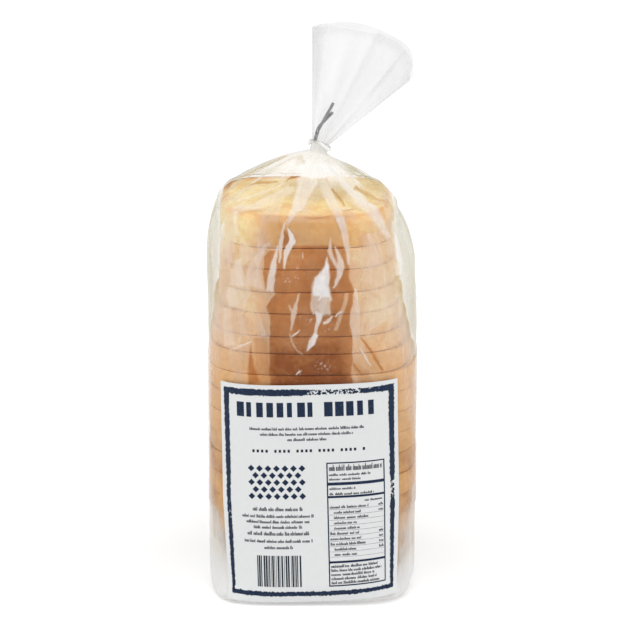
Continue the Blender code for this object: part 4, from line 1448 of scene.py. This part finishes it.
def ink_material(name, code):
    """Printing ink on coated paper: dark and flat, with slightly uneven cover."""
    material, tree, where = new_material(name)
    cover = add_node(tree, "TexNoise", {"Vector": where, "Scale": 1 / (1.2 * MM), "Detail": 3.0})
    thin = add_node(tree, "MapRange", {0: cover.outputs["Fac"], 1: 0.52, 2: 0.85, 3: 0.0, 4: 0.10})
    tone = add_node(tree, "Mix", {
        0: thin.outputs[0], 6: to_linear(code), 7: to_linear("#9FB0BF")}, data_type="RGBA")
    shader = add_node(tree, "BsdfPrincipled", {
        "Base Color": tone.outputs[2], "Roughness": 0.5, "Specular IOR Level": 0.2})
    return surfaced(material, shader)


# ---------------------------------------------------------------- tie and stage


def tie_material():
    """Plastic-covered wire strip: the grey wire shows through its ends. Round the neck the loop
    is painted white, for the white film over it and as painted light over the shade on its underside."""
    material, tree, where = new_material("plastic_covered_wire_strip")
    scuff = add_node(tree, "TexNoise", {"Vector": where, "Scale": 1 / (1.4 * MM), "Detail": 3.0})
    tone = add_node(tree, "Mix", {
        0: scuff.outputs["Fac"], 6: to_linear("#606062"), 7: to_linear("#A6A6A8")}, data_type="RGBA")
    height = add_node(tree, "SeparateXYZ", {0: where}).outputs["Z"]
    # Painted light: the loop round the neck is coloured white, over the shade on its underside.
    loop_painted_white = add_node(tree, "MapRange", {
        0: height, 1: TIE_LOOP_TOP, 2: TIE_LOOP_TOP - TIE_WHITE_FADE, 3: 0.0, 4: 0.97})
    colour = add_node(tree, "Mix", {
        0: loop_painted_white.outputs[0], 6: tone.outputs[2], 7: to_linear("#F4F4F2")}, data_type="RGBA")
    bump = add_node(tree, "Bump", {
        "Height": scuff.outputs["Fac"], "Distance": 0.1 * MM, "Strength": 0.4})
    shader = add_node(tree, "BsdfPrincipled", {
        "Base Color": colour.outputs[2], "Roughness": 0.42, "Normal": bump.outputs[0]})
    return surfaced(material, shader)


def floor_material(code, glow):
    """Matt white board, lit from below: even and bright, so that it only shows a soft shadow."""
    material, tree, where = new_material("matt_white_board")
    tone = add_node(tree, "TexNoise", {"Vector": where, "Scale": 1 / (400 * MM)})
    colour = add_node(tree, "Mix", {
        0: tone.outputs["Fac"], 6: to_linear(code), 7: to_linear("#D8D8D8")}, data_type="RGBA")
    shader = add_node(tree, "BsdfPrincipled", {
        "Base Color": colour.outputs[2], "Roughness": 0.9, "Specular IOR Level": 0.0,
        "Emission Color": (1.0, 1.0, 1.0, 1.0), "Emission Strength": glow})
    return surfaced(material, shader)


def soft_box(name, place, aim, width, height, power):
    """A rectangular studio lamp that the camera doesn't see."""
    lamp = bpy.data.lights.new(name, "AREA")
    lamp.shape = "RECTANGLE"
    lamp.size, lamp.size_y = width, height
    lamp.energy = power
    holder = new_object(name, lamp)
    holder.location = place
    holder.rotation_mode = "QUATERNION"
    holder.rotation_quaternion = (Vector(aim) - Vector(place)).to_track_quat("-Z", "Y")
    holder.visible_camera = False


def make_stage(settings):
    """The floor, the lamps beside and above, and the white room."""
    mesh = bmesh.new()
    bmesh.ops.create_circle(mesh, cap_ends=True, segments=96, radius=FLOOR_RADIUS)
    board = bpy.data.meshes.new("studio_floor")
    mesh.to_mesh(board)
    mesh.free()
    board.materials.append(floor_material(settings.floor, settings.floor_glow))
    floor = new_object("studio_floor", board)
    floor.location.z = -FLOOR_DROP

    aside, ahead, rise = LAMP_PLACE
    soft_box("left_box", (-aside, ahead, rise), LAMP_AIM, *LAMP_SIZE, settings.side_power)
    soft_box("right_box", (aside, ahead, rise), LAMP_AIM, *LAMP_SIZE, settings.side_power)
    lamp = bpy.data.lights.new("ceiling_light", "SUN")
    lamp.energy = settings.ceiling
    lamp.angle = settings.ceiling_spread
    ceiling = new_object("ceiling_light", lamp)
    ceiling.rotation_euler = (settings.ceiling_lean, 0.0, 0.0)

    world = bpy.data.worlds.new("white_room")
    world.use_nodes = True
    back = world.node_tree.nodes["Background"]
    back.inputs["Color"].default_value = (1.0, 1.0, 1.0, 1.0)
    back.inputs["Strength"].default_value = settings.room
    bpy.context.scene.world = world
    bpy.context.scene.view_settings.view_transform = "Standard"


def make_camera(settings):
    """The camera, which looks down on the bag a little."""
    data = bpy.data.cameras.new("studio_camera")
    data.sensor_width = SENSOR_WIDTH
    data.lens = 0.5 * data.sensor_width / (settings.half_view / settings.camera_distance)
    data.clip_start, data.clip_end = VIEW_DEPTHS
    data.shift_x = CAMERA_SHIFT
    camera = new_object("studio_camera", data)
    rise = settings.camera_rise
    target = Vector((0.0, 0.0, settings.camera_target))
    back = Vector((0.0, -math.cos(rise), math.sin(rise)))
    camera.location = target + back * settings.camera_distance
    camera.rotation_mode = "QUATERNION"
    camera.rotation_quaternion = (-back).to_track_quat("-Z", "Y")
    bpy.context.scene.camera = camera


# ---------------------------------------------------------------- settings


def colour_property(name, description, code):
    """A colour that a user can change, as an sRGB hex code."""
    return StringProperty(name=name, description=description, default=code)


def number_property(name, description, default, **limits):
    """A number that a user can change."""
    return FloatProperty(name=name, description=description, default=default, **limits)


def share_property(name, description, default):
    """A number from 0 to 1 that a user can change."""
    return number_property(name, description, default, min=0, max=1, subtype="FACTOR")


class LoafSettings(bpy.types.PropertyGroup):
    """Colours of the bread."""

    pale_crust: colour_property("Pale crust", "Crust that the pan covered", "#F5DFA0")
    golden_crust: colour_property("Golden crust", "Crust at the crown's sides", "#E1AD6C")
    brown_crust: colour_property("Brown crust", "Crust over most of the crown", "#C79559")
    dark_crust: colour_property("Dark crust", "Crust at the crown's middle", "#A06528")
    crumb: colour_property("Crumb", "The cut faces", "#F2E6C9")
    grains: IntProperty(name="Grains", description="Grains of corn meal", default=420, min=0)


class FilmSettings(bpy.types.PropertyGroup):
    """Finish of the clear film."""

    free_tint: colour_property("Free film", "Tint of what is seen through free film", "#FDFDFD")
    cling_tint: colour_property("Clinging film", "Tint of what is seen through clinging film", "#E5D2C8")
    # The grey haze colours are darker than the white haze: partly the film's own tint, partly painted
    # shade.
    grey_haze: colour_property("Grey haze", "Colour of the film beside and above the loaf", "#D6D5C2")
    fan_haze: colour_property("Gathered haze", "Colour of the gathered end", "#CECED0")
    haze_tint: colour_property("Haze", "Colour of the film where it is thinly milky", "#F4E9DC")
    thick_haze: colour_property("Thick haze", "Colour of the film where it is white", "#F5F7F8")
    crinkle: number_property("Crinkle", "Strength of the fine crinkles", 0.12, min=0)
    roughness: share_property("Roughness", "Spread of reflections", 0.13)
    gloss: share_property("Gloss", "Share of light mirrored head on", 0.01)
    rim_gloss: share_property("Rim gloss", "Share of light mirrored edge on", 0.45)


class LabelSettings(bpy.types.PropertyGroup):
    """Colours of the label."""

    paper: colour_property("Paper", "The label's paper", "#DCDEDE")
    frame_ink: colour_property("Frame ink", "Dark blue of the frame, blocks and lozenges", "#10233E")
    text_ink: colour_property("Text ink", "Nearly black blue of the small marks", "#17202E")


class StudioSettings(bpy.types.PropertyGroup):
    """Camera and light."""

    floor: colour_property("Floor", "The floor's board", "#D2D2D2")
    floor_glow: number_property("Floor glow", "Light that the board gives off", 0.36, min=0)
    room: number_property("Room", "Brightness of the white room", 0.42, min=0)
    ceiling: number_property("Ceiling", "Strength of the wide light above", 2.15, min=0)
    ceiling_spread: number_property(
        "Spread", "Angle that the ceiling light fills", math.radians(60.0), subtype="ANGLE")
    ceiling_lean: number_property(
        "Lean", "Lean of the ceiling light to the front", math.radians(22.0), subtype="ANGLE")
    side_power: number_property("Side lamps", "Power of the lamps beside", 4.0, min=0, unit="POWER")
    camera_distance: number_property("Distance", "From the camera to its target", 3.0, unit="LENGTH")
    camera_target: number_property(
        "Target height", "Height that the camera looks at", 0.172, unit="LENGTH")
    camera_rise: number_property(
        "Rise", "Angle of the camera above level", math.radians(15.0), subtype="ANGLE")
    half_view: number_property(
        "Half view", "Half of the width in view at the target", 0.19437, unit="LENGTH")


# ---------------------------------------------------------------- operators


class BREAD_OT_slices(bpy.types.Operator):
    """Builds the slices and the corn meal on their crust"""

    bl_idname = "bread.slices"
    bl_label = "Slices"

    def execute(self, context):
        settings = context.scene.bread_loaf
        finishes = [crust_material(settings), crumb_material(settings)]
        plans = slice_plan(np.random.default_rng(LOAF_SEED))
        first_seed, seed_step = SLICE_SEEDS
        for number, plan in enumerate(plans):
            make_slice(number, plan, finishes, first_seed + seed_step * number)
        points, faces = make_grains(plans, settings.grains, MEAL_SEED)
        mesh_piece("corn_meal", points, (faces,), [meal_material()], "bag", smooth=False)
        return {"FINISHED"}


class BREAD_OT_film(bpy.types.Operator):
    """Builds the film round the loaf and its gathered end"""

    bl_idname = "bread.film"
    bl_label = "Film"

    def execute(self, context):
        settings = context.scene.bread_film
        body = film_material(settings, "clear_polyethylene_film", settings.grey_haze)
        make_film(body, slice_plan(np.random.default_rng(LOAF_SEED)))
        make_fan(film_material(settings, "gathered_polyethylene_film", settings.fan_haze))
        return {"FINISHED"}


class BREAD_OT_label(bpy.types.Operator):
    """Builds the label and what is printed on it"""

    bl_idname = "bread.label"
    bl_label = "Label"

    def execute(self, context):
        settings = context.scene.bread_label
        make_label(paper_material(settings))
        ink, text = (Print(seed) for seed in PRINT_SEEDS)
        worn_frame(ink)
        print_title_and_left(ink, text)
        print_table(ink, text)
        ink.made("label_frame_print", ink_material("blue_printing_ink", settings.frame_ink))
        text.made("label_small_print", ink_material("dark_printing_ink", settings.text_ink))
        return {"FINISHED"}


class BREAD_OT_tie(bpy.types.Operator):
    """Finishes the twist tie"""

    bl_idname = "bread.tie"
    bl_label = "Twist tie"

    def execute(self, context):
        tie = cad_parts["twist_tie"]
        tie.data.materials.clear()
        tie.data.materials.append(tie_material())
        return {"FINISHED"}


class BREAD_OT_stage(bpy.types.Operator):
    """Builds the floor, the lamps and the camera"""

    bl_idname = "bread.stage"
    bl_label = "Studio"

    def execute(self, context):
        make_stage(context.scene.bread_studio)
        make_camera(context.scene.bread_studio)
        return {"FINISHED"}


PIECE_OPERATORS = (BREAD_OT_slices, BREAD_OT_film, BREAD_OT_label, BREAD_OT_tie, BREAD_OT_stage)
SETTINGS = (
    ("bread_loaf", LoafSettings),
    ("bread_film", FilmSettings),
    ("bread_label", LabelSettings),
    ("bread_studio", StudioSettings),
)


class BREAD_PT_panel(bpy.types.Panel):
    """Lists the steps that build the bag of bread"""

    bl_idname = "BREAD_PT_panel"
    bl_label = "Bagged Sliced Bread"
    bl_space_type = "VIEW_3D"
    bl_region_type = "UI"
    bl_category = "Bread"

    def draw(self, context):
        for operator in PIECE_OPERATORS:
            self.layout.operator(operator.bl_idname)
        for name, group in SETTINGS:
            box = self.layout.box()
            for prop in group.__annotations__:
                box.prop(getattr(context.scene, name), prop)


def register():
    """Adds the settings, the operators and the panel."""
    for name, group in SETTINGS:
        bpy.utils.register_class(group)
        setattr(bpy.types.Scene, name, PointerProperty(type=group))
    for made in (*PIECE_OPERATORS, BREAD_PT_panel):
        bpy.utils.register_class(made)


def unregister():
    """Takes them away again."""
    for made in (BREAD_PT_panel, *reversed(PIECE_OPERATORS)):
        bpy.utils.unregister_class(made)
    for name, group in reversed(SETTINGS):
        delattr(bpy.types.Scene, name)
        bpy.utils.unregister_class(group)


def main():
    """Builds everything."""
    register()
    bpy.ops.bread.stage()
    bpy.ops.bread.slices()
    bpy.ops.bread.film()
    bpy.ops.bread.label()
    bpy.ops.bread.tie()


if __name__ == "__main__":
    main()
